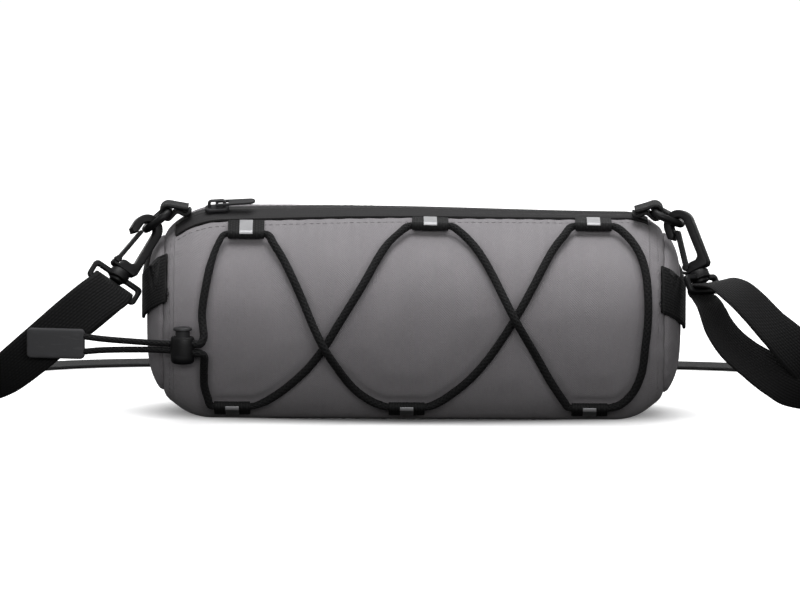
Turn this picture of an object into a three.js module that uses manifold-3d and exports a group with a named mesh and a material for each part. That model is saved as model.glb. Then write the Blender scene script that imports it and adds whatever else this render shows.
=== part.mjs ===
// Handlebar bag: a soft padded barrel with a zip along its top and elastic lacing over its front,
// carried by a webbing shoulder strap on two swivel snap hooks.
// Millimetres, +Z up. The front faces -Y. The origin is on the floor under the middle of the bag.

import * as THREE from 'three';
import { mergeVertices } from 'three/addons/utils/BufferGeometryUtils.js';
import Module from 'manifold-3d';

const solids = await Module();
solids.setup();

// Driving dimensions

const GAP = 0.3; // clearance between neighbouring pieces

const BAG = {
  length: 238,
  depth: 104,
  height: 93,
  wall: 3, // padded fabric
  cornerRadius: 30, // rounding towards each end, round the sides and the bottom
  topCornerLeft: 34, // the same along the top
  topCornerRight: 26,
  floorHalfWidth: 20, // half of the flat strip that stands on the floor
  seamX: 112, // seam between the barrel and an end panel
  domePower: 4.4, // how flat the end panels are
  topFall: 3, // the top sinks this much towards the right end
};

const ZIP = {
  leftAngle: 72.3, // degrees up from the front, at the left seam
  rightAngle: 89,
  from: -106, // the zip's ends, beyond which the panel's edges meet
  to: 104,
  halfWidth: 8,
  thick: 1.4,
  proud: 0.4, // how far the tapes stand above the fabric
  groove: 0.5,
  sliderX: -87.5,
};

const SLIDER = { length: 11, width: 8, plate: 2.2, bridge: 5.4, bridgeWidth: 2.2, hingeZ: 3.2 };
const PULL = { length: 17, width: 6, thick: 1.2, windowEnd: 5.2, windowWidth: 3.2 };

const WEBBING = { wide: 20, thick: 1.5 };
const LACE = { radius: 1.9, steps: 176 };
const LOOP = { width: 16, thick: 0.6, slack: 0.45, floorTurn: 18 };

const LOCK = {
  x: -99.9,
  z: 35.3,
  turn: -21.5, // degrees about Z, so that it lies along the rounded corner
  length: 11,
  depth: 9.4,
  bottom: -8.8,
  top: 5,
  boreRadius: 3.5,
  boreFloor: -7.7,
  travel: 2.5,
  buttonTop: 9.2,
  cordSpacing: 3,
};
const TAIL = { radius: 1.4 };
const TAB = { x: -158.5, y: -37, z: 34.8, turn: -9, length: 26, height: 13.4, thick: 3, cordSpacing: 7 };

const RING = { wire: 1.7, width: 24, depth: 13, corner: 3, tabReach: 9 };
const HOOK = {
  crown: 22.3, // height of the jaw's centre above the base
  jawInner: 3.1,
  jawOuter: 6.8,
  thick: 5.4,
  pivot: [-4.2, 3.5],
  gateTip: [-1.7, 19.6],
  gateHalf: 0.9,
  gateThick: 3.6,
  neck: 2.2,
};
const SWIVEL = { width: 25.6, slot: 21.2, top: -2, bar: 2.4, lowerBar: -9.9, lowerHalf: 1.1, thick: 2.6 };

// Each end's D-ring: x, y and lift of its straight bar, the way its bow points, where the hook hangs on the
// bow (degrees from the bow's middle, the front being negative), the way from the hook's base to its jaw,
// and the way the strap's swivel ring is turned.
const ENDS = {
  left: {
    side: -1, ringX: -109.5, ringY: -8, lift: 8.4, bow: [-0.77, 0, -0.64],
    hangAt: -30, lean: [0.49, 0.39, 0.78], across: [0.81, 0.12, -0.57],
  },
  right: {
    side: 1, ringX: 107, ringY: -11, lift: 6.5, bow: [0.9, 0, -0.44],
    hangAt: -30, lean: [-0.45, 0.1, 0.89], across: [0.35, 0.9, 0.3],
  },
};

const HANDLE = { leftZ: 68.7, rightZ: 65.2, sag: 16.5, bulge: 0.3, endX: 109 };
const BAR_LOOP = {
  x: 58,
  width: 25,
  thick: 2,
  // Along the bag's back: degrees round the section, lift off the fabric.
  onBack: [[150, 2], [157, 0.6], [164, 0.1], [172, 0], [180, 0], [188, 0], [196, 0.1], [203, 0.6], [210, 2]],
  // Round the bar: y, z.
  behind: [[59, 20], [69, 25], [74.5, 35], [76, 48], [73.5, 60.5], [66.5, 70.5], [56.5, 75]],
};

// Six webbing loops hold the elastic cord: x of each, height of the cord's middle, what it is sewn to.
const LOOPS = {
  top_left: { x: -74.5, cordZ: 83.9, sewnTo: 'zip' },
  top_middle: { x: 7, cordZ: 87.5, sewnTo: 'zip' },
  top_right: { x: 79.4, cordZ: 87.3, sewnTo: 'zip' },
  bottom_left: { x: -80.3, cordZ: 7.6, sewnTo: 'floor' },
  bottom_middle: { x: -3, cordZ: 7.6, sewnTo: 'floor' },
  bottom_right: { x: 78, cordZ: 7.6, sewnTo: 'floor' },
};

// The cord's stretches between the loops. Columns: x, height of its middle, lift above its usual lie.
const LACE_ROUTE = {
  lock_to_top_left: [
    [-92.2, 39.8, 3], [-92.6, 44, 1.2], [-93.3, 49.5, 0.2], [-92.8, 56, 0], [-91.6, 63.5, 0],
    [-89.6, 72.7, 0], [-86.6, 80.4, 0.5],
  ],
  top_left_to_bottom_middle: [
    [-62, 80, 0.5], [-58, 74.3, 0], [-54, 66.8, 0], [-49, 56, 0], [-44.4, 45.2, 2],
    [-39.6, 35, 4.3], [-34.6, 27, 2], [-29, 18.6, 0], [-24, 13.2, 0], [-17.5, 9, 0.4],
  ],
  bottom_middle_to_top_right: [
    [10.8, 9, 0.4], [17, 13.2, 0], [25, 20.5, 0], [33.5, 31, 0], [44.6, 48.6, 0],
    [51.7, 61.3, 0], [57.2, 71.6, 0], [61.5, 78.6, 0], [66, 83.6, 0.5],
  ],
  top_right_to_bottom_right: [
    [95.2, 82.6, 0.5], [99.6, 76.4, 0], [101.8, 69, 0], [102.8, 59, 0], [102.8, 48, 0],
    [101.8, 36, 0], [100.2, 23, 0], [96.6, 13.8, 0], [91.5, 8.6, 0.4],
  ],
  bottom_right_to_top_middle: [
    [67, 9.4, 0.5], [63.8, 14.2, 0.2], [60, 20.5, 0], [54.6, 30.6, 0], [49.6, 39.8, 2], [44.6, 48.9, 4.3],
    [39.6, 58.2, 2], [34.4, 68.2, 0], [29.6, 76, 0], [25.6, 80.8, 0], [20.5, 85, 0.5],
  ],
  top_middle_to_bottom_left: [
    [-6.8, 84.8, 0.5], [-12, 80.4, 0], [-16.4, 74.2, 0], [-22.4, 63.8, 0], [-28.4, 54, 0],
    [-34, 44.6, 0], [-39.6, 35, 0], [-46.4, 25.6, 0], [-53, 18.8, 0], [-59.4, 13.2, 0], [-66, 9, 0.4],
  ],
  bottom_left_to_lock: [
    [-90.8, 10.4, 0.4], [-92.4, 16.5, 0], [-92.5, 22, 0.2], [-92.2, 27, 1.2], [-92, 31, 3],
  ],
};

// The strap's lie. Columns: x, y, z, the way one edge faces (left out where it lies on the floor).
const STRAP_SEWN_END = [
  [-154, -31.2, 42.2, [0.61, 0, -0.79]],
  [-148, -30.7, 47, [0.63, 0.02, -0.77]],
  [-142, -28.6, 51.8, [0.72, 0.06, -0.68]],
];
const STRAP_LEFT = [
  [-141, -33.2, 54, [0.68, 0.05, -0.73]],
  [-151, -34, 45.8, [0.61, 0, -0.79]],
  [-167, -31, 31.5, [0.66, 0.1, -0.74]],
  [-182, -24, 18.5, [0.7, 0.3, -0.64]],
  [-196, -12, 8.6, [0.75, 0.5, -0.3]],
  [-207, 4, 2.6, [0.87, 0.45, -0.05]],
];
const STRAP_FLOOR = [
  [-214, 26, 1], [-217, 54, 1], [-213, 90, 1], [-193, 128, 1], [-155, 153, 1], [-95, 164, 1],
  [0, 166, 1], [95, 164, 1], [155, 153, 1], [193, 128, 1], [210, 98, 1],
];
const STRAP_RIGHT = [
  [212, 34, 3, [-1, 0, 0]],
  [206, 13, 4.2, [-0.92, 0.38, -0.06]],
  [196, -1.5, 9, [-0.8, 0.45, -0.35]],
  [184, -14, 18.5, [-0.7, 0.1, -0.6]],
  [172, -25, 30, [-0.56, -0.4, -0.66]],
  [160, -33, 42, [-0.46, -0.7, -0.54]],
  [150, -36, 53, [-0.45, -0.76, -0.46]],
  [143, -36, 59.2, [-0.48, -0.8, -0.34]],
  [136, -32.8, 62.6, [-0.54, -0.82, -0.1]],
];
const STRAP_RETURN = [
  [131.5, -32, 52, [-0.58, -0.8, 0.05]],
  [135.2, -34, 43.5, [-0.58, -0.78, -0.2]],
  [140.6, -34.5, 36, [-0.52, -0.75, -0.4]],
  [149, -33, 28.6, [-0.47, -0.72, -0.52]],
  [161, -28.5, 20.3, [-0.54, -0.52, -0.66]],
  [174, -20, 13.5, [-0.66, 0.05, -0.66]],
  [187, -9, 7.6, [-0.72, 0.5, -0.42]],
  [197, 3, 3.6, [-0.82, 0.55, -0.13]],
  [206, 18, 1.6, [-0.92, 0.38, -0.02]],
  [211.6, 36, 1, [-1, 0, 0]],
];
const STRAP_SLIDER = {
  x: 213, y: 62, bottom: 4.6, thick: 3, width: 27, half: 11, slot: 21.2, barHalf: 1.5, slotEnd: 8,
};

// Materials

function finish(color, roughness, metalness = 0) {
  return new THREE.MeshStandardMaterial({ color, roughness, metalness });
}

const FABRIC = finish(0x8f8b8f, 0.88);
const ZIP_TAPE = finish(0x4a4a4c, 0.62);
const BLACK_WEBBING = finish(0x1d1d1e, 0.82);
const ELASTIC = finish(0x161617, 0.75);
const PLASTIC = finish(0x17181a, 0.42);
const RUBBER_TAB = finish(0x444446, 0.7);

// Small helpers

const rad = THREE.MathUtils.degToRad;
const deg = THREE.MathUtils.radToDeg;
const vec = (x, y, z) => new THREE.Vector3(x, y, z);

function spread(from, to, steps) {
  return Array.from({ length: steps + 1 }, (_, step) => from + ((to - from) * step) / steps);
}

// The part of a direction that is square to another, as a unit vector.
function squareTo(direction, other) {
  return direction.clone().addScaledVector(other, -direction.dot(other) / other.lengthSq()).normalize();
}

// A closed solid from points and triangles, turned so that its faces look outwards.
function closedSolid(points, faces) {
  let volume = 0;
  for (let i = 0; i < faces.length; i += 3) {
    const [a, b, c] = [points[faces[i]], points[faces[i + 1]], points[faces[i + 2]]];
    volume += a.dot(b.clone().cross(c));
  }
  const geometry = new THREE.BufferGeometry().setFromPoints(points);
  geometry.setIndex(volume < 0 ? [...faces].reverse() : faces);
  geometry.computeVertexNormals();
  return geometry;
}

// A skin over rings of points, all with the same even number. An open row of rings gets flat end caps.
function loft(rings, looped = false) {
  const count = rings[0].length;
  const faces = [];
  const quad = (a, b, c, d) => faces.push(a, b, c, a, c, d);
  const spans = looped ? rings.length : rings.length - 1;
  for (let row = 0; row < spans; row++) {
    const here = row * count;
    const there = ((row + 1) % rings.length) * count;
    for (let i = 0; i < count; i++) {
      const next = (i + 1) % count;
      quad(here + i, here + next, there + next, there + i);
    }
  }
  if (!looped) {
    const end = (rings.length - 1) * count;
    for (let i = 0; i < count / 2 - 1; i++) {
      const across = count - 1 - i;
      quad(i, across, across - 1, i + 1);
      quad(end + i, end + i + 1, end + across - 1, end + across);
    }
  }
  return closedSolid(rings.flat(), faces);
}

// A flat band along stations, each with a place and the way one edge faces. A slanting band keeps its edges'
// way as given, so that its ends are not square to it.
function ribbon(stations, width, thick, looped = false, slanting = false) {
  const last = stations.length - 1;
  const rings = stations.map(({ place, edge }, i) => {
    const before = looped && i === 0 ? stations[last] : stations[Math.max(i - 1, 0)];
    const after = looped && i === last ? stations[0] : stations[Math.min(i + 1, last)];
    const along = after.place.clone().sub(before.place).normalize();
    const across = slanting ? edge : squareTo(edge, along);
    const face = along.clone().cross(across).normalize();
    return [[-1, -1], [1, -1], [1, 1], [-1, 1]].map(([w, t]) =>
      place.clone().addScaledVector(across, (w * width) / 2).addScaledVector(face, (t * thick) / 2));
  });
  return loft(rings, looped);
}

// A round cord along a smooth curve through points.
function cord(points, radius, steps, sides = 8) {
  const circle = new THREE.Shape().absarc(0, 0, radius, 0, Math.PI * 2);
  return new THREE.ExtrudeGeometry(circle, {
    steps,
    curveSegments: sides,
    extrudePath: new THREE.CatmullRomCurve3(points, false, 'centripetal'),
  });
}

// A flat outline given thickness, centred on its own plane, with softened edges.
function plate(shape, thick, soften = 0, curveSegments = 6) {
  const geometry = new THREE.ExtrudeGeometry(shape, {
    depth: thick - 2 * soften,
    bevelEnabled: soften > 0,
    bevelThickness: soften,
    bevelSize: soften,
    bevelOffset: -soften,
    bevelSegments: 1,
    curveSegments,
  });
  return geometry.translate(0, 0, soften - thick / 2);
}

function roundedBox(width, height, radius) {
  const [w, h] = [width / 2 - radius, height / 2 - radius];
  return new THREE.Shape()
    .absarc(w, h, radius, 0, Math.PI / 2)
    .absarc(-w, h, radius, Math.PI / 2, Math.PI)
    .absarc(-w, -h, radius, Math.PI, Math.PI * 1.5)
    .absarc(w, -h, radius, Math.PI * 1.5, Math.PI * 2);
}

// A turned piece about Z from [radius, z] points that start and end on the axis.
function turned(profile, sides = 12) {
  const points = profile.map(([radius, z]) => new THREE.Vector2(radius, z));
  return new THREE.LatheGeometry(points, sides).rotateX(Math.PI / 2);
}

// A plain round bar about Z between two heights, for boring holes.
function bored(radius, from, to, sides = 12) {
  return turned([[0, from], [radius, from], [radius, to], [0, to]], sides);
}

function toSolid(geometry) {
  const bare = new THREE.BufferGeometry();
  bare.setAttribute('position', geometry.getAttribute('position'));
  bare.setIndex(geometry.getIndex());
  const merged = mergeVertices(bare, 1e-4);
  return new solids.Manifold(new solids.Mesh({
    numProp: 3,
    vertProperties: new Float32Array(merged.getAttribute('position').array),
    triVerts: new Uint32Array(merged.getIndex().array),
  }));
}

function toGeometry(solid) {
  const mesh = solid.getMesh();
  const geometry = new THREE.BufferGeometry();
  geometry.setAttribute('position', new THREE.BufferAttribute(mesh.vertProperties, 3));
  geometry.setIndex(new THREE.BufferAttribute(mesh.triVerts, 1));
  geometry.computeVertexNormals();
  return geometry;
}

function join(...pieces) {
  return toGeometry(pieces.map(toSolid).reduce((whole, piece) => whole.add(piece)));
}

function cut(base, ...tools) {
  return toGeometry(tools.map(toSolid).reduce((rest, tool) => rest.subtract(tool), toSolid(base)));
}

// The bag's outer form. Angles go round the section: 0 front, 90 top, 180 back, -90 and 270 the two
// edges of the flat bottom. An inset draws the surface inwards.

const HALF_DEPTH = BAG.depth / 2;
const MID_Z = BAG.height / 2;

// How far the rounding of the ends draws the section in, from the sides (0) to the top (1).
function endDrop(x, upness = 0) {
  const rounding = (radius) => {
    const t = Math.max(0, Math.abs(x) - BAG.length / 2 + radius) / radius;
    return radius * (1 - Math.sqrt(Math.max(0, 1 - t * t)));
  };
  const [side, top] = [rounding(BAG.cornerRadius), rounding(x < 0 ? BAG.topCornerLeft : BAG.topCornerRight)];
  return THREE.MathUtils.lerp(side, top, Math.max(0, upness));
}

function topHalf(x) {
  return MID_Z - BAG.topFall * THREE.MathUtils.smoothstep(x, -40, 100);
}

function surface(x, angle, inset = 0) {
  const [c, s] = [Math.cos(rad(angle)), Math.sin(rad(angle))];
  const drop = endDrop(x, s) + inset;
  const halfDepth = HALF_DEPTH - drop;
  if (s >= 0) return vec(x, -halfDepth * c, MID_Z + (topHalf(x) - drop) * s);
  const flat = BAG.floorHalfWidth * (1 - drop / 40);
  return vec(x, -Math.sign(c) * flat - (halfDepth - flat) * c, MID_Z + (MID_Z - drop) * s);
}

function surfaceNormal(x, angle) {
  const along = surface(x + 0.1, angle).sub(surface(x - 0.1, angle));
  const around = surface(x, angle + 0.1).sub(surface(x, angle - 0.1));
  return along.cross(around).normalize();
}

// The angle of the place on the front at a given height.
function frontAngle(x, z) {
  let upness = 0;
  for (let round = 0; round < 6; round++) {
    const half = (z >= MID_Z ? topHalf(x) : MID_Z) - endDrop(x, upness);
    upness = THREE.MathUtils.clamp((z - MID_Z) / half, -1, 1);
  }
  return deg(Math.asin(upness));
}

// The same under a cord that stands off the fabric, from the height of the cord's middle.
function angleUnder(x, z, standOff) {
  return frontAngle(x, z - standOff * Math.sin(rad(frontAngle(x, z))));
}

function zipAngle(x) {
  return THREE.MathUtils.mapLinear(x, -BAG.seamX, BAG.seamX, ZIP.leftAngle, ZIP.rightAngle);
}

// Degrees of section that a width across the zip takes up.
function degreesAcross(width, x) {
  return deg(width / (HALF_DEPTH - endDrop(x)));
}

function topZ(x) {
  return MID_Z + topHalf(x) - endDrop(x, 1);
}

// How far out the end panel lies at a place on it.
function endX(side, y, z) {
  const seam = side * BAG.seamX;
  const upper = z >= MID_Z;
  const half = (upper ? topHalf(seam) : MID_Z) - endDrop(seam, upper ? 1 : 0);
  const reach = Math.hypot(y / (HALF_DEPTH - endDrop(seam)), (z - MID_Z) / half);
  return BAG.seamX + (BAG.length / 2 - BAG.seamX) * (1 - Math.min(1, reach) ** BAG.domePower);
}

// Sections along the bag, closer together on its rounded corners.
const STATIONS = [-99.5, -94, -89, -50, -12, 24, 58, 89, 94, 99.5];

// Soft body

function barrelPanel() {
  const end = BAG.seamX - GAP / 2;
  const stations = [-end, ZIP.from - 0.7, ZIP.from - GAP, ...STATIONS, ZIP.to + GAP, ZIP.to + 0.7, end];
  const rings = stations.map((x) => {
    const overZip = x > ZIP.from - 0.5 && x < ZIP.to + 0.5;
    const lip = degreesAcross(overZip ? ZIP.halfWidth + ZIP.groove : GAP / 2, x);
    const angles = [...spread(zipAngle(x) - lip, -90, 14), ...spread(270, zipAngle(x) + lip, 14)];
    const outer = angles.map((angle) => surface(x, angle));
    const inner = angles.map((angle) => surface(x, angle, BAG.wall));
    return [...outer, ...inner.reverse()];
  });
  return loft(rings);
}

function endPanel(side) {
  const seam = BAG.seamX + GAP / 2;
  const dome = BAG.length / 2 - seam;
  const angles = [...spread(90, -90, 11), ...spread(270, 90, 12).slice(0, -1)];
  const ring = (scale, inset) => angles.map((angle) => {
    const rim = surface(side * seam, angle, inset);
    const rise = (dome - inset) * (1 - scale ** BAG.domePower);
    return vec(side * (seam + rise), rim.y * scale, MID_Z + (rim.z - MID_Z) * scale);
  });
  const scales = [0.2, 0.5, 0.72, 0.86, 0.95, 1];
  const outer = scales.map((scale) => ring(scale, 0));
  const inner = scales.map((scale) => ring(scale, BAG.wall)).reverse();
  return loft([...outer, ...inner]);
}

function zipTape(from, to) {
  const rings = [ZIP.from, ...STATIONS, ZIP.to].map((x) => {
    const angles = spread(from, to, 3).map((width) => zipAngle(x) + degreesAcross(width, x));
    const outer = angles.map((angle) => surface(x, angle, -ZIP.proud));
    const inner = angles.map((angle) => surface(x, angle, ZIP.thick - ZIP.proud));
    return [...outer, ...inner.reverse()];
  });
  return loft(rings);
}

// The slider and its pull are drawn with X along the zip and Z away from the bag.
function zipSlider() {
  const footprint = roundedBox(SLIDER.length, SLIDER.width, 2.4);
  const body = plate(footprint, SLIDER.plate, 0.4, 2).translate(0, 0, SLIDER.plate / 2);
  const arch = new THREE.Shape()
    .moveTo(-4.1, SLIDER.plate - 0.5)
    .lineTo(4.1, SLIDER.plate - 0.5)
    .lineTo(4.1, 4.6)
    .lineTo(3.2, SLIDER.bridge)
    .lineTo(-3.2, SLIDER.bridge)
    .lineTo(-4.1, 4.6);
  const underArch = new THREE.Shape()
    .moveTo(-2.7, SLIDER.plate - 1)
    .lineTo(2.7, SLIDER.plate - 1)
    .lineTo(2.7, 4.3)
    .lineTo(-2.7, 4.3);
  const upright = (shape, width) => plate(shape, width).rotateX(Math.PI / 2);
  const bridge = cut(upright(arch, SLIDER.bridgeWidth), upright(underArch, SLIDER.bridgeWidth + 2));
  return join(body, bridge);
}

function zipPull() {
  const half = PULL.width / 2;
  const outline = new THREE.Shape()
    .moveTo(-0.6, -half)
    .lineTo(PULL.length - 2, -half + 0.5)
    .absarc(PULL.length - 2.4, 0, half - 0.5, -Math.PI / 2, Math.PI / 2)
    .lineTo(-0.6, half);
  const window = new THREE.Path()
    .moveTo(0.6, -PULL.windowWidth / 2)
    .lineTo(0.6, PULL.windowWidth / 2)
    .lineTo(PULL.windowEnd, PULL.windowWidth / 2)
    .lineTo(PULL.windowEnd, -PULL.windowWidth / 2);
  outline.holes.push(window);
  return plate(outline, PULL.thick, 0, 4).translate(0, 0, SLIDER.hingeZ);
}

// Front lacing

const LOOP_OUTER = LACE.radius + LOOP.slack + LOOP.thick;

// Where a loop sits: its middle on the fabric, the way from its root to the cord, and the way out.
function loopFrame({ x, cordZ, sewnTo }) {
  const cordAngle = angleUnder(x, cordZ, GAP + LOOP_OUTER);
  const rootAngle = sewnTo === 'zip'
    ? zipAngle(x) - degreesAcross(ZIP.halfWidth + ZIP.groove + 1, x)
    : cordAngle - LOOP.floorTurn;
  const middle = (cordAngle + rootAngle) / 2;
  const across = surface(x, cordAngle).sub(surface(x, rootAngle));
  const out = surfaceNormal(x, middle);
  return { origin: surface(x, middle), along: squareTo(across, out), out, reach: across.length() };
}

// The cord's middle line inside a loop, at a distance along X from the loop's middle.
function cordInLoop(loop, offset) {
  const { origin, along, out, reach } = loopFrame(loop);
  const place = origin.addScaledVector(along, reach / 2).addScaledVector(out, GAP + LOOP_OUTER);
  return place.add(vec(offset, 0, 0));
}

function cordLoop(loop) {
  const { origin, along, out, reach } = loopFrame(loop);
  const [root, turn] = [-reach / 2, reach / 2];
  const inner = LACE.radius + LOOP.slack;
  const middle = GAP + LOOP_OUTER;
  const outline = new THREE.Shape()
    .moveTo(root, GAP)
    .lineTo(root + 2, GAP)
    .absarc(turn, middle, LOOP_OUTER, -Math.PI / 2, rad(115))
    .lineTo(root + 2, GAP + 2 * LOOP.thick + 0.9)
    .lineTo(root, GAP + 2 * LOOP.thick);
  const eye = new THREE.Path()
    .absarc(turn, middle, inner, -Math.PI / 2, rad(115))
    .lineTo(root + 0.8, GAP + LOOP.thick + 0.3);
  outline.holes.push(eye);
  const frame = new THREE.Matrix4().makeBasis(along, out, along.clone().cross(out)).setPosition(origin);
  return plate(outline, LOOP.width, 0, 5).applyMatrix4(frame);
}

function onFront([x, z, lift]) {
  const standOff = LACE.radius + GAP + lift;
  const angle = angleUnder(x, z, standOff);
  return surface(x, angle).addScaledVector(surfaceNormal(x, angle), standOff);
}

// The cord lock is drawn with X along the cords and Z along its plunger.
const lockFrame = new THREE.Object3D();
lockFrame.rotation.z = rad(LOCK.turn);
lockFrame.position.copy(surface(LOCK.x, frontAngle(LOCK.x, LOCK.z)));
lockFrame.position.add(vec(0, -(LOCK.depth / 2 + GAP + 0.9), 0).applyEuler(lockFrame.rotation));
lockFrame.updateMatrixWorld();
const atLock = (x, y, z) => lockFrame.localToWorld(vec(x, y, z));

function elasticCord() {
  const straight = LOOP.width / 2 + 1.4;
  const through = (loop) => spread(-straight, straight, 4).map((offset) => cordInLoop(loop, offset));
  const throughBack = (loop) => through(loop).reverse();
  const stretch = (name) => LACE_ROUTE[name].map(onFront);
  const mouth = LOCK.length / 2 + GAP;
  const points = [
    atLock(mouth, 0, 2), atLock(mouth + 2.5, 0, 2.1),
    ...stretch('lock_to_top_left'), ...through(LOOPS.top_left),
    ...stretch('top_left_to_bottom_middle'), ...through(LOOPS.bottom_middle),
    ...stretch('bottom_middle_to_top_right'), ...through(LOOPS.top_right),
    ...stretch('top_right_to_bottom_right'), ...throughBack(LOOPS.bottom_right),
    ...stretch('bottom_right_to_top_middle'), ...throughBack(LOOPS.top_middle),
    ...stretch('top_middle_to_bottom_left'), ...throughBack(LOOPS.bottom_left),
    ...stretch('bottom_left_to_lock'),
    atLock(mouth + 2.5, 0, -2.1), atLock(mouth, 0, -2),
  ];
  return cord(points, LACE.radius, LACE.steps, 3);
}

function lockBody() {
  const level = (z, scale) => spread(0, 360, 16).slice(0, -1).map((turn) => {
    const [x, y] = [Math.cos(rad(turn)) * LOCK.length, Math.sin(rad(turn)) * LOCK.depth];
    return vec((x * scale) / 2, (y * scale) / 2, z);
  });
  const shell = loft([
    level(LOCK.bottom, 0.8),
    level(LOCK.bottom + 1.2, 0.97),
    level(-2, 1),
    level(LOCK.top - 1, 0.97),
    level(LOCK.top, 0.9),
  ]);
  const bore = bored(LOCK.boreRadius, LOCK.boreFloor, LOCK.top + 2);
  const cordTop = LOCK.cordSpacing / 2 + TAIL.radius + GAP;
  return cut(shell, bore, cordWay(cordTop, -cordTop));
}

// The way for the two cords through the lock, between two heights.
function cordWay(top, bottom) {
  const slot = roundedBox(2 * TAIL.radius + 2 * GAP, top - bottom, 1.4);
  const turn = new THREE.Matrix4().makeBasis(vec(0, 1, 0), vec(0, 0, 1), vec(1, 0, 0));
  return plate(slot, LOCK.length + 4, 0, 3).applyMatrix4(turn).translate(0, 0, (top + bottom) / 2);
}

function lockPlunger() {
  const stem = LOCK.boreRadius - GAP;
  const cordTop = LOCK.cordSpacing / 2 + TAIL.radius;
  const foot = LOCK.boreFloor + GAP + LOCK.travel;
  const button = LOCK.top + LOCK.travel + 0.2;
  const cap = LOCK.buttonTop;
  const post = turned([
    [0, foot], [stem, foot], [stem, button], [4.2, button], [4.2, cap - 0.6], [3.6, cap], [0, cap],
  ]);
  return cut(post, cordWay(cordTop + LOCK.travel + GAP, -cordTop - GAP));
}

const tabFrame = new THREE.Object3D();
tabFrame.rotation.z = rad(TAB.turn);
tabFrame.position.set(TAB.x, TAB.y, TAB.z);
tabFrame.updateMatrixWorld();

function cordTail(sign) {
  const level = (sign * LOCK.cordSpacing) / 2;
  const end = tabFrame.localToWorld(vec(TAB.length / 2 + GAP, 0, (sign * TAB.cordSpacing) / 2));
  const beforeEnd = tabFrame.localToWorld(vec(TAB.length / 2 + 8, 0, sign * 2.5));
  const inLock = [5.2, 0, -6, -13].map((x) => atLock(x, 0, level));
  return cord([...inLock, beforeEnd, end], TAIL.radius, 14, 3);
}

function pullTab() {
  return plate(roundedBox(TAB.length, TAB.height, 2), TAB.thick, 0.6, 2).rotateX(Math.PI / 2);
}

// Carrying pieces

function sideHandle(side) {
  const half = WEBBING.wide / 2;
  const out = GAP + WEBBING.thick / 2;
  const endZ = side < 0 ? HANDLE.leftZ : HANDLE.rightZ;
  const height = (y) => endZ - HANDLE.sag * (1 - (y / HALF_DEPTH) ** 2);
  const nearest = (z) => THREE.MathUtils.clamp(MID_Z, z - half, z + half);
  const overEnd = spread(-34, 34, 10).map((y) => {
    const z = height(y);
    const swell = HANDLE.bulge * Math.cos((y / 34) * (Math.PI / 2));
    return vec(side * (endX(side, y, nearest(z)) + out + swell), y, z);
  });
  const onBarrel = (x, front) => {
    const bare = HALF_DEPTH - endDrop(x);
    return vec(side * (x + 0.7 * out), front * (bare + 0.8 * out), height(bare));
  };
  const corner = (front) => [onBarrel(HANDLE.endX, front), onBarrel(BAG.seamX + 1, front)];
  const route = [...corner(-1), ...overEnd, ...corner(1).reverse()];
  const stations = route.map((place) => ({ place, edge: vec(0, 0, 1) }));
  return ribbon(stations, WEBBING.wide, WEBBING.thick, false, true);
}

function ringBar({ ringX, ringY, lift }) {
  return vec(ringX, ringY, topZ(ringX) + lift);
}

// A place on the D-ring's bow, in degrees from its middle.
function ringBow(end, turn) {
  const bow = vec(...end.bow).normalize();
  const rise = RING.corner + (RING.depth - RING.corner) * Math.cos(rad(turn));
  return ringBar(end).addScaledVector(bow, rise).add(vec(0, (RING.width / 2) * Math.sin(rad(turn)), 0));
}

function dRing(end) {
  const bow = vec(...end.bow).normalize();
  const half = RING.width / 2 - RING.corner;
  const corner = (sign, turns) => turns.map((turn) => ringBar(end)
    .addScaledVector(bow, RING.corner * (1 - Math.cos(rad(turn))))
    .add(vec(0, sign * (half + RING.corner * Math.sin(rad(turn))), 0)));
  const route = [
    ...corner(-1, [60, 30, 0]), ringBar(end), ...corner(1, [0, 30, 60]),
    ...spread(90, -90, 12).map((turn) => ringBow(end, turn)),
  ];
  const flat = bow.clone().cross(vec(0, 1, 0));
  const rings = route.map((place, i) => {
    const along = route[(i + 1) % route.length].clone().sub(route.at(i - 1)).normalize();
    const side = along.clone().cross(flat);
    return spread(0, 360, 6).slice(0, -1).map((turn) => place.clone()
      .addScaledVector(flat, RING.wire * Math.cos(rad(turn)))
      .addScaledVector(side, RING.wire * Math.sin(rad(turn))));
  });
  return loft(rings, true);
}

// Webbing sewn down over the zip's end, folded round the D-ring's bar and back.
function ringTab(end) {
  const bar = ringBar(end);
  const wrap = RING.wire + 2 * GAP + WEBBING.thick / 2;
  const lie = ZIP.proud + GAP + WEBBING.thick / 2;
  const layer = WEBBING.thick + GAP;
  const inwards = (reach, z) => vec(end.ringX - end.side * reach, end.ringY, z);
  const onTop = (reach, rise) => inwards(reach, topZ(end.ringX - end.side * reach) + lie + rise);
  const sewn = onTop(RING.tabReach, layer);
  const upper = (reach) => inwards(reach, THREE.MathUtils.lerp(bar.z + wrap, sewn.z, reach / RING.tabReach));
  const round = spread(-100, 105, 8).map((turn) => bar.clone()
    .add(vec(end.side * wrap * Math.cos(rad(turn)), 0, wrap * Math.sin(rad(turn)))));
  const lower = upper(0.46 * RING.tabReach).add(vec(0, 0, -layer - GAP));
  const under = [onTop(RING.tabReach + 1, 0), onTop(0.85 * RING.tabReach, 0), lower];
  const route = [...under, ...round, upper(0.4 * RING.tabReach), upper(0.7 * RING.tabReach), sewn];
  return ribbon(route.map((place) => ({ place, edge: vec(0, 1, 0) })), WEBBING.wide - 0.6, WEBBING.thick);
}

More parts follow.
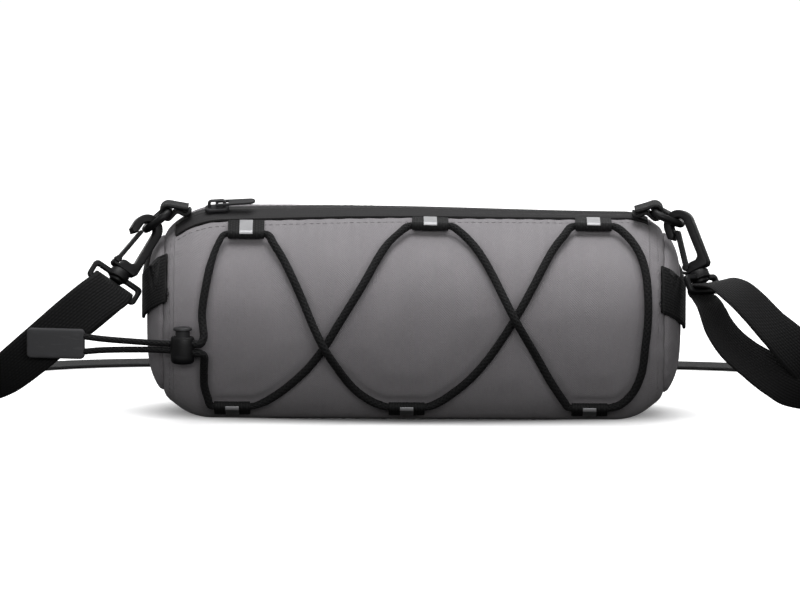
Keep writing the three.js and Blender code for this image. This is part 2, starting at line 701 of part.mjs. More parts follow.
// A snap hook is drawn in its own plane: X from gate to spine, Y from base to jaw, Z towards the viewer.
function hookFrame(end) {
  const along = ringBow(end, end.hangAt - 1).sub(ringBow(end, end.hangAt + 1)).normalize();
  const up = squareTo(vec(...end.lean), along);
  const spine = up.clone().cross(along);
  const jaw = HOOK.crown + HOOK.jawInner - RING.wire - 2 * GAP;
  const origin = ringBow(end, end.hangAt).addScaledVector(up, -jaw).addScaledVector(spine, -0.2);
  return new THREE.Matrix4().makeBasis(spine, up, along).setPosition(origin);
}

function hookBody() {
  const { crown, jawInner, jawOuter, pivot } = HOOK;
  const seat = HOOK.gateHalf + 0.7 + 0.35;
  const outline = new THREE.Shape()
    .moveTo(-5.2, 0)
    .lineTo(5.6, 0)
    .lineTo(0.2 + jawOuter, 2)
    .absarc(0.2, crown, jawOuter, 0, Math.PI)
    .lineTo(0.2 - jawOuter, crown - 3.8)
    .lineTo(-4.75, crown - 5.4)
    .lineTo(0 - jawInner, crown - 3.6)
    .absarc(0.2, crown, jawInner, Math.PI, 0, true)
    .lineTo(0.2 + jawInner, 6.5)
    .lineTo(1.8, 4.6)
    .lineTo(-1.2, 4.6)
    .absarc(...pivot, seat, rad(20), rad(-150), true)
    .lineTo(-6.2, 1.2);
  const flange = [[0, -6], [2.7, -6], [3.2, -5.6], [3.2, -4.7]];
  const neck = turned([...flange, [HOOK.neck, -4.7], [HOOK.neck, 1], [0, 1]]);
  return join(plate(outline, HOOK.thick, 0.25, 5), neck.rotateX(-Math.PI / 2));
}

function hookGate() {
  const [pivot, tip] = [new THREE.Vector2(...HOOK.pivot), new THREE.Vector2(...HOOK.gateTip)];
  const arm = tip.clone().sub(pivot);
  const turn = arm.angle();
  const foot = HOOK.gateHalf + 0.7;
  const outline = new THREE.Shape()
    .absarc(pivot.x, pivot.y, foot, turn + rad(35), turn - rad(35) + Math.PI * 2)
    .absarc(tip.x, tip.y, HOOK.gateHalf, turn - Math.PI / 2, turn + Math.PI / 2);
  return plate(outline, HOOK.gateThick, 0.3, 4);
}

// The swivel ring that the strap goes through, in the hook's frame.
function strapRing() {
  const bottom = SWIVEL.lowerBar - SWIVEL.lowerHalf;
  const height = SWIVEL.top - bottom;
  const slotTop = SWIVEL.top - SWIVEL.bar;
  const slotHeight = slotTop - (SWIVEL.lowerBar + SWIVEL.lowerHalf);
  const frame = plate(roundedBox(SWIVEL.width, height, 2.2), SWIVEL.thick, 0, 3);
  const slot = plate(roundedBox(SWIVEL.slot, slotHeight, 1), SWIVEL.thick + 4, 0, 2);
  frame.translate(0, bottom + height / 2, 0);
  slot.translate(0, slotTop - slotHeight / 2, 0);
  const boss = turned([[0, slotTop], [4.6, slotTop], [4.6, -0.8], [4, -GAP], [0, -GAP]]);
  const bore = bored(HOOK.neck + GAP, slotTop - 3, 2);
  return cut(join(cut(frame, slot), boss.rotateX(-Math.PI / 2)), bore.rotateX(-Math.PI / 2));
}

// The ring turns on the hook's neck.
function ringFrame(end) {
  const hook = hookFrame(end);
  const up = vec().setFromMatrixColumn(hook, 1);
  const wide = squareTo(vec(...end.across), up);
  return new THREE.Matrix4().makeBasis(wide, up, wide.clone().cross(up)).copyPosition(hook);
}

// Stations round the ring's lower bar, from one side of it to the other, in degrees from the top.
function roundRing(end, from, to, edgeSign) {
  const frame = ringFrame(end);
  const radius = Math.hypot(SWIVEL.lowerHalf, SWIVEL.thick / 2) + GAP + WEBBING.thick / 2;
  const wide = vec().setFromMatrixColumn(frame, 0).multiplyScalar(edgeSign);
  return spread(from, to, 8).map((turn) => {
    const [rise, out] = [radius * Math.cos(rad(turn)), radius * Math.sin(rad(turn))];
    return { place: vec(0, SWIVEL.lowerBar + rise, out).applyMatrix4(frame), edge: wide };
  });
}

// Stations in the slider, as [y, z] from its middle on the floor.
function inSlider(points) {
  const { x, y: middle } = STRAP_SLIDER;
  return points.map(([y, z]) => ({ place: vec(x, middle + y, z), edge: vec(-1, 0, 0) }));
}

function roundSliderBar(radius, from, to, steps) {
  const middle = STRAP_SLIDER.bottom + STRAP_SLIDER.thick / 2;
  const around = (turn) => [radius * Math.cos(rad(turn)), middle + radius * Math.sin(rad(turn))];
  return inSlider(spread(from, to, steps).map(around));
}

// Smooth stations through given ones. Those without an edge lie flat, with the bag on their right.
function smoothStations(given, perSpan) {
  const curve = new THREE.CatmullRomCurve3(given.map(({ place }) => place), false, 'centripetal');
  const spans = given.length - 1;
  const edgeAt = (i) => given[i].edge ?? curve.getTangent(i / spans).cross(vec(0, 0, 1));
  return spread(0, spans, spans * perSpan).map((t) => {
    const i = Math.min(Math.floor(t), spans - 1);
    const edge = edgeAt(i).clone().lerp(edgeAt(i + 1), t - i).normalize();
    return { place: curve.getPoint(t / spans), edge };
  });
}

function shoulderStrap() {
  const lie = (rows) => rows.map(([x, y, z, edge]) => ({ place: vec(x, y, z), edge: edge && vec(...edge) }));
  return ribbon(smoothStations([
    ...lie(STRAP_SEWN_END),
    ...roundRing(ENDS.left, -95, 90, 1),
    ...lie(STRAP_LEFT), ...lie(STRAP_FLOOR),
    ...inSlider([[16, 1], [10.5, 2.2], [7.6, 3.6]]),
    ...roundSliderBar(5.05, 15, 165, 6),
    ...inSlider([[-6.6, 4], [-10, 3.3], [-16, 2.9]]),
    ...lie(STRAP_RIGHT),
    ...roundRing(ENDS.right, 20, -140, -1),
    ...lie(STRAP_RETURN),
    ...inSlider([[-16, 0.95], [-10, 1.05], [-6.2, 1.3], [-4.1, 2.9]]),
    ...roundSliderBar(3.2, 190, -60, 8),
  ], 2), WEBBING.wide, WEBBING.thick);
}

function strapSlider() {
  const { half, barHalf, slotEnd, width, slot, thick, bottom } = STRAP_SLIDER;
  const slotLength = slotEnd - barHalf;
  const window = (sign) => plate(roundedBox(slot, slotLength, 0.8), thick + 2, 0, 1)
    .translate(0, sign * (barHalf + slotLength / 2), 0);
  const frame = plate(roundedBox(width, 2 * half, 3), thick, 0, 3);
  return cut(frame, window(-1), window(1)).translate(STRAP_SLIDER.x, STRAP_SLIDER.y, bottom + thick / 2);
}

// A plain closed strap on the back, for the handlebar.
function handlebarStrap(x) {
  const out = GAP + BAR_LOOP.thick / 2;
  const onBack = BAR_LOOP.onBack.map(([angle, lift]) =>
    surface(x, angle).addScaledVector(surfaceNormal(x, angle), out + lift));
  const behind = BAR_LOOP.behind.map(([y, z]) => vec(x, y, z));
  const curve = new THREE.CatmullRomCurve3([...onBack, ...behind], true, 'centripetal');
  const places = spread(0, 1, 36).slice(0, -1).map((t) => curve.getPoint(t));
  const stations = places.map((place) => ({ place, edge: vec(1, 0, 0) }));
  return ribbon(stations, BAR_LOOP.width, BAR_LOOP.thick, true);
}

// Assembly

function piece(name, geometry, material) {
  const mesh = new THREE.Mesh(geometry, material);
  mesh.name = name;
  return mesh;
}

function placed(frame, ...pieces) {
  const group = new THREE.Group();
  group.applyMatrix4(frame);
  return group.add(...pieces);
}

// The slider's place on the zip, with Z away from the bag.
function sliderFrame() {
  const [x, angle] = [ZIP.sliderX, zipAngle(ZIP.sliderX)];
  const out = surfaceNormal(x, angle);
  const along = squareTo(vec(1, 0, 0), out);
  const place = surface(x, angle, -ZIP.proud).addScaledVector(out, GAP + 0.2);
  return new THREE.Matrix4().makeBasis(along, out.clone().cross(along), out).setPosition(place);
}

const bag = new THREE.Group();
bag.name = 'handlebar_bag';

bag.add(
  piece('barrel_panel', barrelPanel(), FABRIC),
  piece('end_panel_left', endPanel(-1), FABRIC),
  piece('end_panel_right', endPanel(1), FABRIC),
  piece('zip_tape_front', zipTape(-ZIP.halfWidth, -GAP / 2), ZIP_TAPE),
  piece('zip_tape_back', zipTape(GAP / 2, ZIP.halfWidth), ZIP_TAPE),
  placed(sliderFrame(), piece('zip_slider', zipSlider(), PLASTIC), piece('zip_pull', zipPull(), PLASTIC)),
);

for (const [name, loop] of Object.entries(LOOPS)) {
  bag.add(piece(`cord_loop_${name}`, cordLoop(loop), BLACK_WEBBING));
}

bag.add(
  piece('elastic_cord', elasticCord(), ELASTIC),
  placed(
    lockFrame.matrix,
    piece('cord_lock_body', lockBody(), PLASTIC),
    piece('cord_lock_plunger', lockPlunger(), PLASTIC),
  ),
  piece('cord_tail_upper', cordTail(1), ELASTIC),
  piece('cord_tail_lower', cordTail(-1), ELASTIC),
  placed(tabFrame.matrix, piece('pull_tab', pullTab(), RUBBER_TAB)),
);

for (const [name, end] of Object.entries(ENDS)) {
  bag.add(
    piece(`side_handle_${name}`, sideHandle(end.side), BLACK_WEBBING),
    piece(`d_ring_${name}`, dRing(end), PLASTIC),
    piece(`d_ring_tab_${name}`, ringTab(end), BLACK_WEBBING),
    placed(
      hookFrame(end),
      piece(`hook_${name}`, hookBody(), PLASTIC),
      piece(`gate_${name}`, hookGate(), PLASTIC),
    ),
    placed(ringFrame(end), piece(`strap_ring_${name}`, strapRing(), PLASTIC)),
    piece(`handlebar_strap_${name}`, handlebarStrap(end.side * BAR_LOOP.x), BLACK_WEBBING),
  );
}

bag.add(
  piece('shoulder_strap', shoulderStrap(), BLACK_WEBBING),
  piece('strap_slider', strapSlider(), PLASTIC),
);

export default bag;
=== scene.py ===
"""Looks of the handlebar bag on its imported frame. The front faces -Y and Z is up."""

import math
from types import SimpleNamespace as Sizes

import bmesh
import bpy
import numpy as np
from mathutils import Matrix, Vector, noise
from mathutils.kdtree import KDTree


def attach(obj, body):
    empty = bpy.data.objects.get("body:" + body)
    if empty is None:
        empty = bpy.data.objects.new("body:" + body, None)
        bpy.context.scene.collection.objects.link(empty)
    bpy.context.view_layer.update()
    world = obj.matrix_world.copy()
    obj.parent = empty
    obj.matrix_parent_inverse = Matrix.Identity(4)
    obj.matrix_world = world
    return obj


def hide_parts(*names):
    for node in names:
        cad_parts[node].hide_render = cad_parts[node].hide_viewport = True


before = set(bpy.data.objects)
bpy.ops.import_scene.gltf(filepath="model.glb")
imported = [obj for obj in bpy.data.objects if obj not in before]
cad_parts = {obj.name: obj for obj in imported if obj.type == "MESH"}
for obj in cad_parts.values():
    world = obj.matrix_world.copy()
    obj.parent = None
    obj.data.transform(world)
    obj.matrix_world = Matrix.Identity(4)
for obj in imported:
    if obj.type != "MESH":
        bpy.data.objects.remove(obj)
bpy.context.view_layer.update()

# Driving sizes, the same as the solids' where both have them. Shapes are in millimetres until make().

MM = 0.001
GAP = 0.3
CRISP_ANGLE = 40

BAG = Sizes(length=238, depth=104, height=93, wall=3, corner=30, top_corner_left=34, top_corner_right=26,
            floor_half=20, floor_fade=40, seam_x=112, dome_power=4.4, top_fall=3, fall=(-40, 100))
ZIP = Sizes(left_angle=72.3, right_angle=89, start=-106, end=104, half=8, thick=1.4, proud=0.4, groove=0.5,
            slider_x=-87.5)
SLIDER = Sizes(length=11, width=7, plate=1.7, lift=0.2, hinge_z=3.2, arch=4.15, bridge=4.9)
PULL = Sizes(length=17, half=3, thick=1.2, window_end=5.2, window_half=1.6)
WEBBING = Sizes(wide=20, thick=1.5)
LACE = Sizes(radius=1.8, squeezed=1.4, pressed=0.9, solid=1.9, lock_exit=[(-0.4, 2), (2.8, 2.1)])
LOOP = Sizes(width=16, thick=0.6, skin=0.45, slack=0.45, floor_turn=18, straight=1.4)
STRIPE = Sizes(width=5.9, thick=0.25, lift=0.1, rows=slice(-27, -4))
LOCK = Sizes(x=-99.9, z=35.3, turn=-21.5, stand_off=0.9, length=11, depth=9.4, bottom=-7, top=5, bore=3.5,
             bore_floor=-6, travel=2.5, button_top=9.2, cord_spacing=3)
TAIL = Sizes(radius=1.4, in_lock=(-5.2, -6.5, -13), before_tab=8, before_spacing=5, in_tab=1.5)
TAB = Sizes(x=-158.5, y=-37, z=34.8, turn=-9, length=26, height=13.4, thick=3, corner=2, soft=0.9,
            cord_spacing=7)
RING = Sizes(wire=1.7, width=24, depth=13, corner=3, tab_reach=9)
HOOK = Sizes(crown=22.3, jaw_inner=3.1, jaw_outer=6.8, thick=5.4, pivot=(-4.2, 3.5), gate_tip=(-1.7, 19.6),
             gate_half=0.9, gate_thick=3.6, neck=2.2)
SWIVEL = Sizes(width=25.6, slot=21.2, top=-2, bar=2.4, lower_bar=-9.9, lower_half=1.1, thick=2.6)
ENDS = {
    "left": Sizes(side=-1, ring_x=-109.5, ring_y=-8, lift=8.4, bow=(-0.77, 0, -0.64), hang_at=-30,
                  lean=(0.49, 0.39, 0.78), across=(0.81, 0.12, -0.57)),
    "right": Sizes(side=1, ring_x=107, ring_y=-11, lift=6.5, bow=(0.9, 0, -0.44), hang_at=-30,
                   lean=(-0.45, 0.1, 0.89), across=(0.35, 0.9, 0.3)),
}
HANDLE = Sizes(left_z=68.7, right_z=65.2, sag=16.5, bulge=0.3, end_x=109, over=34, held=(4, 15))
BAR_LOOP = Sizes(
    x=58, width=25, thick=2,
    on_back=[(150, 2), (157, 0.6), (164, 0.1), (172, 0), (180, 0), (188, 0), (196, 0.1), (203, 0.6),
             (210, 2)],
    behind=[(59, 20), (69, 25), (74.5, 35), (76, 48), (73.5, 60.5), (66.5, 70.5), (56.5, 75)],
)

# Six webbing loops: x, height of the cord's middle, sewn beside the zip or not.
LOOPS = {
    "top_left": (-74.5, 83.9, True),
    "top_middle": (7, 87.5, True),
    "top_right": (79.4, 87.3, True),
    "bottom_left": (-80.3, 7.6, False),
    "bottom_middle": (-3, 7.6, False),
    "bottom_right": (78, 7.6, False),
}

# The laced cord, loop by loop: x, height of its middle, lift above its usual lie.
LACE_ROUTE = [
    [(-92.2, 39.8, 3), (-92.6, 44, 1.2), (-93.3, 49.5, 0.2), (-92.8, 56, 0), (-91.6, 63.5, 0),
     (-89.6, 72.7, 0), (-86.6, 80.4, 0.5)],
    ("top_left", 1),
    [(-62, 80, 0.5), (-58, 74.3, 0), (-54, 66.8, 0), (-49, 56, 0), (-44.4, 45.2, 2), (-39.6, 35, 4.3),
     (-34.6, 27, 2), (-29, 18.6, 0), (-24, 13.2, 0), (-17.5, 9, 0.4)],
    ("bottom_middle", 1),
    [(10.8, 9, 0.4), (17, 13.2, 0), (25, 20.5, 0), (33.5, 31, 0), (44.6, 48.6, 0), (51.7, 61.3, 0),
     (57.2, 71.6, 0), (61.5, 78.6, 0), (66, 83.6, 0.5)],
    ("top_right", 1),
    [(95.2, 82.6, 0.5), (99.6, 76.4, 0), (101.8, 69, 0), (102.8, 59, 0), (102.8, 48, 0), (101.8, 36, 0),
     (100.2, 23, 0), (96.6, 13.8, 0), (91.5, 8.6, 0.4)],
    ("bottom_right", -1),
    [(67, 9.4, 0.5), (63.8, 14.2, 0.2), (60, 20.5, 0), (54.6, 30.6, 0), (49.6, 39.8, 2), (44.6, 48.9, 4.3),
     (39.6, 58.2, 2), (34.4, 68.2, 0), (29.6, 76, 0), (25.6, 80.8, 0), (20.5, 85, 0.5)],
    ("top_middle", -1),
    [(-6.8, 84.8, 0.5), (-12, 80.4, 0), (-16.4, 74.2, 0), (-22.4, 63.8, 0), (-28.4, 54, 0), (-34, 44.6, 0),
     (-39.6, 35, 0), (-46.4, 25.6, 0), (-53, 18.8, 0), (-59.4, 13.2, 0), (-66, 9, 0.4)],
    ("bottom_left", -1),
    [(-90.8, 10.4, 0.4), (-92.4, 16.5, 0), (-92.5, 22, 0.2), (-92.2, 27, 1.2), (-92, 31, 3)],
]

# The strap's lie: x, y, z, the way one edge faces (left out where it lies on the floor).
STRAP_SEWN_END = [
    (-154, -31.2, 42.2, (0.61, 0, -0.79)), (-148, -30.7, 47, (0.63, 0.02, -0.77)),
    (-142, -28.6, 51.8, (0.72, 0.06, -0.68)),
]
STRAP_LEFT = [
    (-141, -33.2, 54, (0.68, 0.05, -0.73)), (-151, -34, 45.8, (0.61, 0, -0.79)),
    (-167, -31, 31.5, (0.66, 0.1, -0.74)), (-182, -24, 18.5, (0.7, 0.3, -0.64)),
    (-196, -12, 8.6, (0.75, 0.5, -0.3)), (-207, 4, 2.6, (0.87, 0.45, -0.05)),
]
STRAP_FLOOR = [
    (-214, 26, 1), (-217, 54, 1), (-213, 90, 1), (-193, 128, 1), (-155, 153, 1), (-95, 164, 1), (0, 166, 1),
    (95, 164, 1), (155, 153, 1), (193, 128, 1), (210, 98, 1),
]
STRAP_RIGHT = [
    (212, 34, 3, (-1, 0, 0)), (206, 13, 4.2, (-0.92, 0.38, -0.06)), (196, -1.5, 9, (-0.8, 0.45, -0.35)),
    (184, -14, 18.5, (-0.7, 0.1, -0.6)), (172, -25, 30, (-0.56, -0.4, -0.66)),
    (160, -33, 42, (-0.46, -0.7, -0.54)), (150, -36, 53, (-0.45, -0.76, -0.46)),
    (143, -36, 59.2, (-0.48, -0.8, -0.34)), (136, -32.8, 62.6, (-0.54, -0.82, -0.1)),
]
STRAP_RETURN = [
    (131.5, -32, 52, (-0.58, -0.8, 0.05)), (135.2, -34, 43.5, (-0.58, -0.78, -0.2)),
    (140.6, -34.5, 36, (-0.52, -0.75, -0.4)), (149, -33, 28.6, (-0.47, -0.72, -0.52)),
    (161, -28.5, 20.3, (-0.54, -0.52, -0.66)), (174, -20, 13.5, (-0.66, 0.05, -0.66)),
    (187, -9, 7.6, (-0.72, 0.5, -0.42)), (197, 3, 3.6, (-0.82, 0.55, -0.13)),
    (206, 18, 1.6, (-0.92, 0.38, -0.02)), (211.6, 36, 1, (-1, 0, 0)),
]
STRAP_SLIDER = Sizes(x=213, y=62, bottom=4.6, thick=3, width=27, half=11, slot=21.2, bar_half=1.5,
                     slot_end=8, lower_turn=3.2, upper_turn=5.05)

# The camera's and the studio's sizes are in metres, apart from the sensor's millimetres.
CAMERA = Sizes(target=(-0.0062, 0, 0.0504), distance=5, elevation=7, roll=0.3, width=0.3568, sensor=36)
FLOOR = Sizes(half=40, contact_width=0.33, contact=(0.03, 0.047), glow=0.65)

# Lights: place, width and height, power
LIGHTS = {
    "top": ((0.05, -0.05, 1.3), (1.3, 1.0), 14),
    "front": ((0.08, -1.4, 0.42), (1.6, 0.2), 6.4),
    "back": ((0.1, 1.4, 0.3), (1.6, 0.3), 3),
}
LIT_POINT = (0, 0, 0.05)

# Shapes


def spread(start, end, steps):
    return np.linspace(start, end, steps + 1)


def unit(vectors):
    vectors = np.asarray(vectors, float)
    return vectors / np.maximum(np.linalg.norm(vectors, axis=-1, keepdims=True), 1e-9)


def smooth(value, low, high):
    """An eased step from 0 to 1."""
    t = np.clip((value - low) / (high - low), 0, 1)
    return t * t * (3 - 2 * t)


def circle(sides):
    """Cosines and sines of equal steps round a whole turn."""
    turns = np.radians(np.arange(sides) * 360 / sides)
    return np.cos(turns), np.sin(turns)


def run_along(points):
    """The distance along a path to each of its points."""
    return np.concatenate([[0], np.cumsum(np.linalg.norm(np.diff(points, axis=0), axis=1))])


def picked(spots, run, vectors):
    """Vectors given along a run, at spots on it."""
    return np.stack([np.interp(spots, run, vectors[:, k]) for k in range(3)], -1)


def square_to(direction, other):
    """The part of a direction that is square to another."""
    direction, other = np.asarray(direction, float), unit(other)
    return unit(direction - np.sum(direction * other, axis=-1, keepdims=True) * other)


def axes(x, y, z, origin):
    """A frame: three unit vectors and where it is."""
    return np.array([x, y, z], float), np.asarray(origin, float)


def at(place, points):
    """Points given in a frame, in the bag's own axes."""
    return np.asarray(points, float) @ place[0] + place[1]


def turned_about_z(degrees, origin):
    c, s = math.cos(math.radians(degrees)), math.sin(math.radians(degrees))
    return axes((c, s, 0), (-s, c, 0), (0, 0, 1), origin)


def smooth_path(points, per_span, closed=False):
    """Points on a centripetal Catmull-Rom curve."""
    points = np.asarray(points, float)
    if closed:
        knots = np.vstack([points[-1:], points, points[:2]])
    else:
        knots = np.vstack([2 * points[0] - points[1], points, 2 * points[-1] - points[-2]])
    t = (np.arange(per_span) / per_span)[:, None]
    rows = []
    for p0, p1, p2, p3 in zip(knots, knots[1:], knots[2:], knots[3:]):
        a, b, c = (max(np.linalg.norm(q - p), 1e-6) ** 0.5 for p, q in ((p0, p1), (p1, p2), (p2, p3)))
        leave = ((p1 - p0) / a - (p2 - p0) / (a + b) + (p2 - p1) / b) * b
        arrive = ((p2 - p1) / b - (p3 - p1) / (b + c) + (p3 - p2) / c) * b
        rows.append(p1 + leave * t + (3 * (p2 - p1) - 2 * leave - arrive) * t**2
                    + (2 * (p1 - p2) + leave + arrive) * t**3)
    return np.vstack(rows + ([] if closed else [points[-1:]]))


def steps_along(points, closed=False):
    """Directions along a path of points."""
    if closed:
        return unit(np.roll(points, -1, axis=0) - np.roll(points, 1, axis=0))
    return unit(np.gradient(points, axis=0))


class Shape:
    """Points in millimetres, faces, and one UV per face corner, in millimetres too."""

    def __init__(self, points, faces, uvs=None):
        self.points = np.asarray(points, float).reshape(-1, 3)
        self.faces = [tuple(int(i) for i in face) for face in faces]
        corners = sum(len(face) for face in self.faces)
        self.uvs = np.zeros((corners, 2)) if uvs is None else np.asarray(uvs, float)

    def moved(self, place):
        return Shape(at(place, self.points), self.faces, self.uvs)

    def with_flat_uvs(self, first, second):
        corners = self.points[[i for face in self.faces for i in face]]
        return Shape(self.points, self.faces, corners[:, [first, second]])


def joined(shapes):
    points, faces, uvs, shift = [], [], [], 0
    for shape in shapes:
        points.append(shape.points)
        uvs.append(shape.uvs)
        faces += [tuple(i + shift for i in face) for face in shape.faces]
        shift += len(shape.points)
    return Shape(np.vstack(points), faces, np.vstack(uvs))


def lengths(points, axis, closed):
    """Distance from the start along one way of a grid, averaged over the other way."""
    if closed:
        points = np.concatenate([points, np.take(points, [0], axis=axis)], axis)
    gaps = np.linalg.norm(np.diff(points, axis=axis), axis=-1).mean(axis=1 - axis)
    return np.concatenate([[0], np.cumsum(gaps)])


def grid(points, closed_rows=False, closed_cols=False, caps=None, around=None):
    """A skin over rows of points. Caps: 'fan' closes the two end rows, 'strip' joins their two halves."""
    rows, cols = points.shape[:2]
    along = lengths(points, 0, closed_rows)
    across = lengths(points, 1, closed_cols) if around is None else np.linspace(0, around, cols + 1)
    row, col = np.indices((rows - (not closed_rows), cols - (not closed_cols))).reshape(2, -1)
    corner_rows = np.stack([row, row, row + 1, row + 1], 1)
    corner_cols = np.stack([col, col + 1, col + 1, col], 1)
    faces = ((corner_rows % rows) * cols + corner_cols % cols).tolist()
    uvs = np.stack([along[corner_rows], across[corner_cols]], -1).reshape(-1, 2)
    extra = []
    if caps == "fan":
        extra = [list(range(cols)), [(rows - 1) * cols + i for i in range(cols)]]
    if caps == "strip":
        for start in (0, (rows - 1) * cols):
            extra += [[start + i, start + cols - 1 - i, start + cols - 2 - i, start + i + 1]
                      for i in range(cols // 2 - 1)]
    spare = np.zeros((sum(len(face) for face in extra), 2))
    return Shape(points, faces + extra, np.vstack([uvs, spare]))


def tube(path, radius, sides=14, closed=False):
    """A round cord. One turn round it is 12 mm of UV, whatever its radius."""
    along = steps_along(path, closed)
    side = square_to((0.3, -0.5, 0.81), along[0])
    c, s = circle(sides)
    rings = []
    for place, way, size in zip(path, along, np.broadcast_to(radius, len(path))):
        side = square_to(side, way)
        rings.append(place + size * (c[:, None] * side + s[:, None] * np.cross(way, side)))
    return grid(np.array(rings), closed, True, None if closed else "fan", around=12)


def band_section(width, thick):
    """Round-edged section of a webbing band, as across and out."""
    half, edge = width / 2, thick / 2
    flat = spread(-half + edge, half - edge, 8)
    turn = np.radians(spread(90, -90, 4)[1:-1])
    bulge = np.stack([half - edge + edge * np.cos(turn), edge * np.sin(turn)], 1)
    top = np.stack([flat, np.full_like(flat, edge)], 1)
    return np.vstack([top, bulge, -top, -bulge])


def band(places, edges, width, thick, closed=False, slanting=False):
    """A webbing band. A slanting one keeps its edges' way as given, so that its ends aren't square to it."""
    along = steps_along(places, closed)
    across = np.broadcast_to(edges, places.shape) if slanting else square_to(edges, along)
    face = unit(np.cross(along, across))
    section = band_section(width, thick)
    rings = places[:, None] + across[:, None] * section[None, :, :1] + face[:, None] * section[None, :, 1:]
    return grid(rings, closed, True, None if closed else "fan")


def lathe(profile, sides=32):
    """A turned piece about Z from radius and z."""
    c, s = circle(sides)
    radius, z = np.hsplit(np.asarray(profile, float), 2)
    return grid(np.stack([radius * c, radius * s, np.repeat(z, sides, 1)], -1), False, True, "fan")


def arc(x, y, radius, start, end, steps=14):
    turn = np.radians(spread(start, end, steps))
    return np.stack([x + radius * np.cos(turn), y + radius * np.sin(turn)], 1)


def rounded_box(width, height, radius):
    w, h = width / 2 - radius, height / 2 - radius
    corners = enumerate([(w, h), (-w, h), (-w, -h), (w, -h)])
    return np.vstack([arc(*corner, radius, 90 * i, 90 * i + 90, 6) for i, corner in corners])


def eased(outline, radius):
    """An outline with its corners rounded off."""
    outline = np.asarray(outline, float)
    rows = []
    for before, here, after in zip(np.roll(outline, 1, 0), outline, np.roll(outline, -1, 0)):
        back, on = before - here, after - here
        start = here + back * min(radius / np.linalg.norm(back), 0.45)
        end = here + on * min(radius / np.linalg.norm(on), 0.45)
        t = np.linspace(0, 1, 5)[:, None]
        rows.append((1 - t) ** 2 * start + 2 * t * (1 - t) * here + t**2 * end)
    return np.vstack(rows)


def added(name, data):
    """A new object in the scene."""
    thing = bpy.data.objects.new(name, data)
    bpy.context.scene.collection.objects.link(thing)
    return thing


def plate(outline, thick, soft, holes=()):
    """A flat moulded piece with rounded edges, centred on its own plane."""
    curve = bpy.data.curves.new("outline", "CURVE")
    curve.dimensions, curve.fill_mode = "2D", "BOTH"
    curve.extrude, curve.bevel_depth, curve.offset = thick / 2 - soft, soft, -soft
    curve.bevel_resolution = 2
    for points in (outline, *holes):
        spline = curve.splines.new("POLY")
        spline.points.add(len(points) - 1)
        spline.points.foreach_set("co", np.hstack([points, np.tile((0, 1), (len(points), 1))]).ravel())
        spline.use_cyclic_u = True
    holder = added("outline", curve)
    mesh = bpy.data.meshes.new_from_object(holder.evaluated_get(bpy.context.evaluated_depsgraph_get()))
    shape = Shape([v.co[:] for v in mesh.vertices], [p.vertices[:] for p in mesh.polygons])
    bpy.data.objects.remove(holder)
    bpy.data.curves.remove(curve)
    bpy.data.meshes.remove(mesh)
    return shape


def make(name, shape, material, replaces=(), body="bag", sharp=None):
    """A piece of the part from a shape."""
    mesh = bpy.data.meshes.new(name)
    mesh.from_pydata((shape.points * MM).tolist(), [], shape.faces)
    mesh.uv_layers.new(name="UVMap").data.foreach_set("uv", (shape.uvs * MM).ravel())
    work = bmesh.new()
    work.from_mesh(mesh)
    bmesh.ops.remove_doubles(work, verts=work.verts, dist=1e-7)
    bmesh.ops.recalc_face_normals(work, faces=work.faces)
    work.to_mesh(mesh)
    work.free()
    mesh.shade_smooth()
    if sharp:
        mesh.set_sharp_from_angle(angle=math.radians(sharp))
    mesh.materials.append(material)
    piece = added(name, mesh)
    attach(piece, body)
    if replaces:
        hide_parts(*replaces)
    return piece


def mould(name, shape, material, node, body="bag"):
    """A moulded piece, with crisp edges."""
    return make(name, shape, material, [node], body, CRISP_ANGLE)


# The bag's outer form. Angles go round the section: 0 front, 90 top, 180 back, -90 and 270 the floor's edges.

HALF_DEPTH, MID_Z = BAG.depth / 2, BAG.height / 2


def rounding(x, radius):
    t = np.clip(np.abs(x) - BAG.length / 2 + radius, 0, None) / radius
    return radius * (1 - np.sqrt(np.clip(1 - t * t, 0, None)))


def end_drop(x, upness=0.0):
    side = rounding(x, BAG.corner)
    top = rounding(x, np.where(np.asarray(x) < 0, BAG.top_corner_left, BAG.top_corner_right))
    return side + (top - side) * np.clip(upness, 0, None)


def top_half(x):
    return MID_Z - BAG.top_fall * smooth(np.asarray(x, float), *BAG.fall)


def surface(x, angle, inset=0.0):
    x, angle = np.broadcast_arrays(np.asarray(x, float), np.asarray(angle, float))
    c, s = np.cos(np.radians(angle)), np.sin(np.radians(angle))
    drop = end_drop(x, s) + inset
    half = HALF_DEPTH - drop
    flat = np.where(s >= 0, 0, BAG.floor_half * (1 - drop / BAG.floor_fade))
    height = np.where(s >= 0, top_half(x), MID_Z) - drop
    return np.stack([x, -np.sign(c) * flat - (half - flat) * c, MID_Z + height * s], -1)


def surface_normal(x, angle):
    x, angle = np.asarray(x, float), np.asarray(angle, float)
    along = surface(x + 0.1, angle) - surface(x - 0.1, angle)
    return unit(np.cross(along, surface(x, angle + 0.1) - surface(x, angle - 0.1)))


def front_angle(x, z):
    upness = 0.0
    for _ in range(6):
        half = (top_half(x) if z >= MID_Z else MID_Z) - end_drop(x, upness)
        upness = float(np.clip((z - MID_Z) / half, -1, 1))
    return math.degrees(math.asin(upness))


def angle_under(x, z, stand_off):
    """The angle under a cord that stands off the fabric, from the height of the cord's middle."""
    return front_angle(x, z - stand_off * math.sin(math.radians(front_angle(x, z))))


def zip_angle(x):
    return np.interp(x, [-BAG.seam_x, BAG.seam_x], [ZIP.left_angle, ZIP.right_angle])


def degrees_across(width, x):
    return np.degrees(width / (HALF_DEPTH - end_drop(x)))


def top_z(x):
    return MID_Z + top_half(x) - end_drop(x, 1)


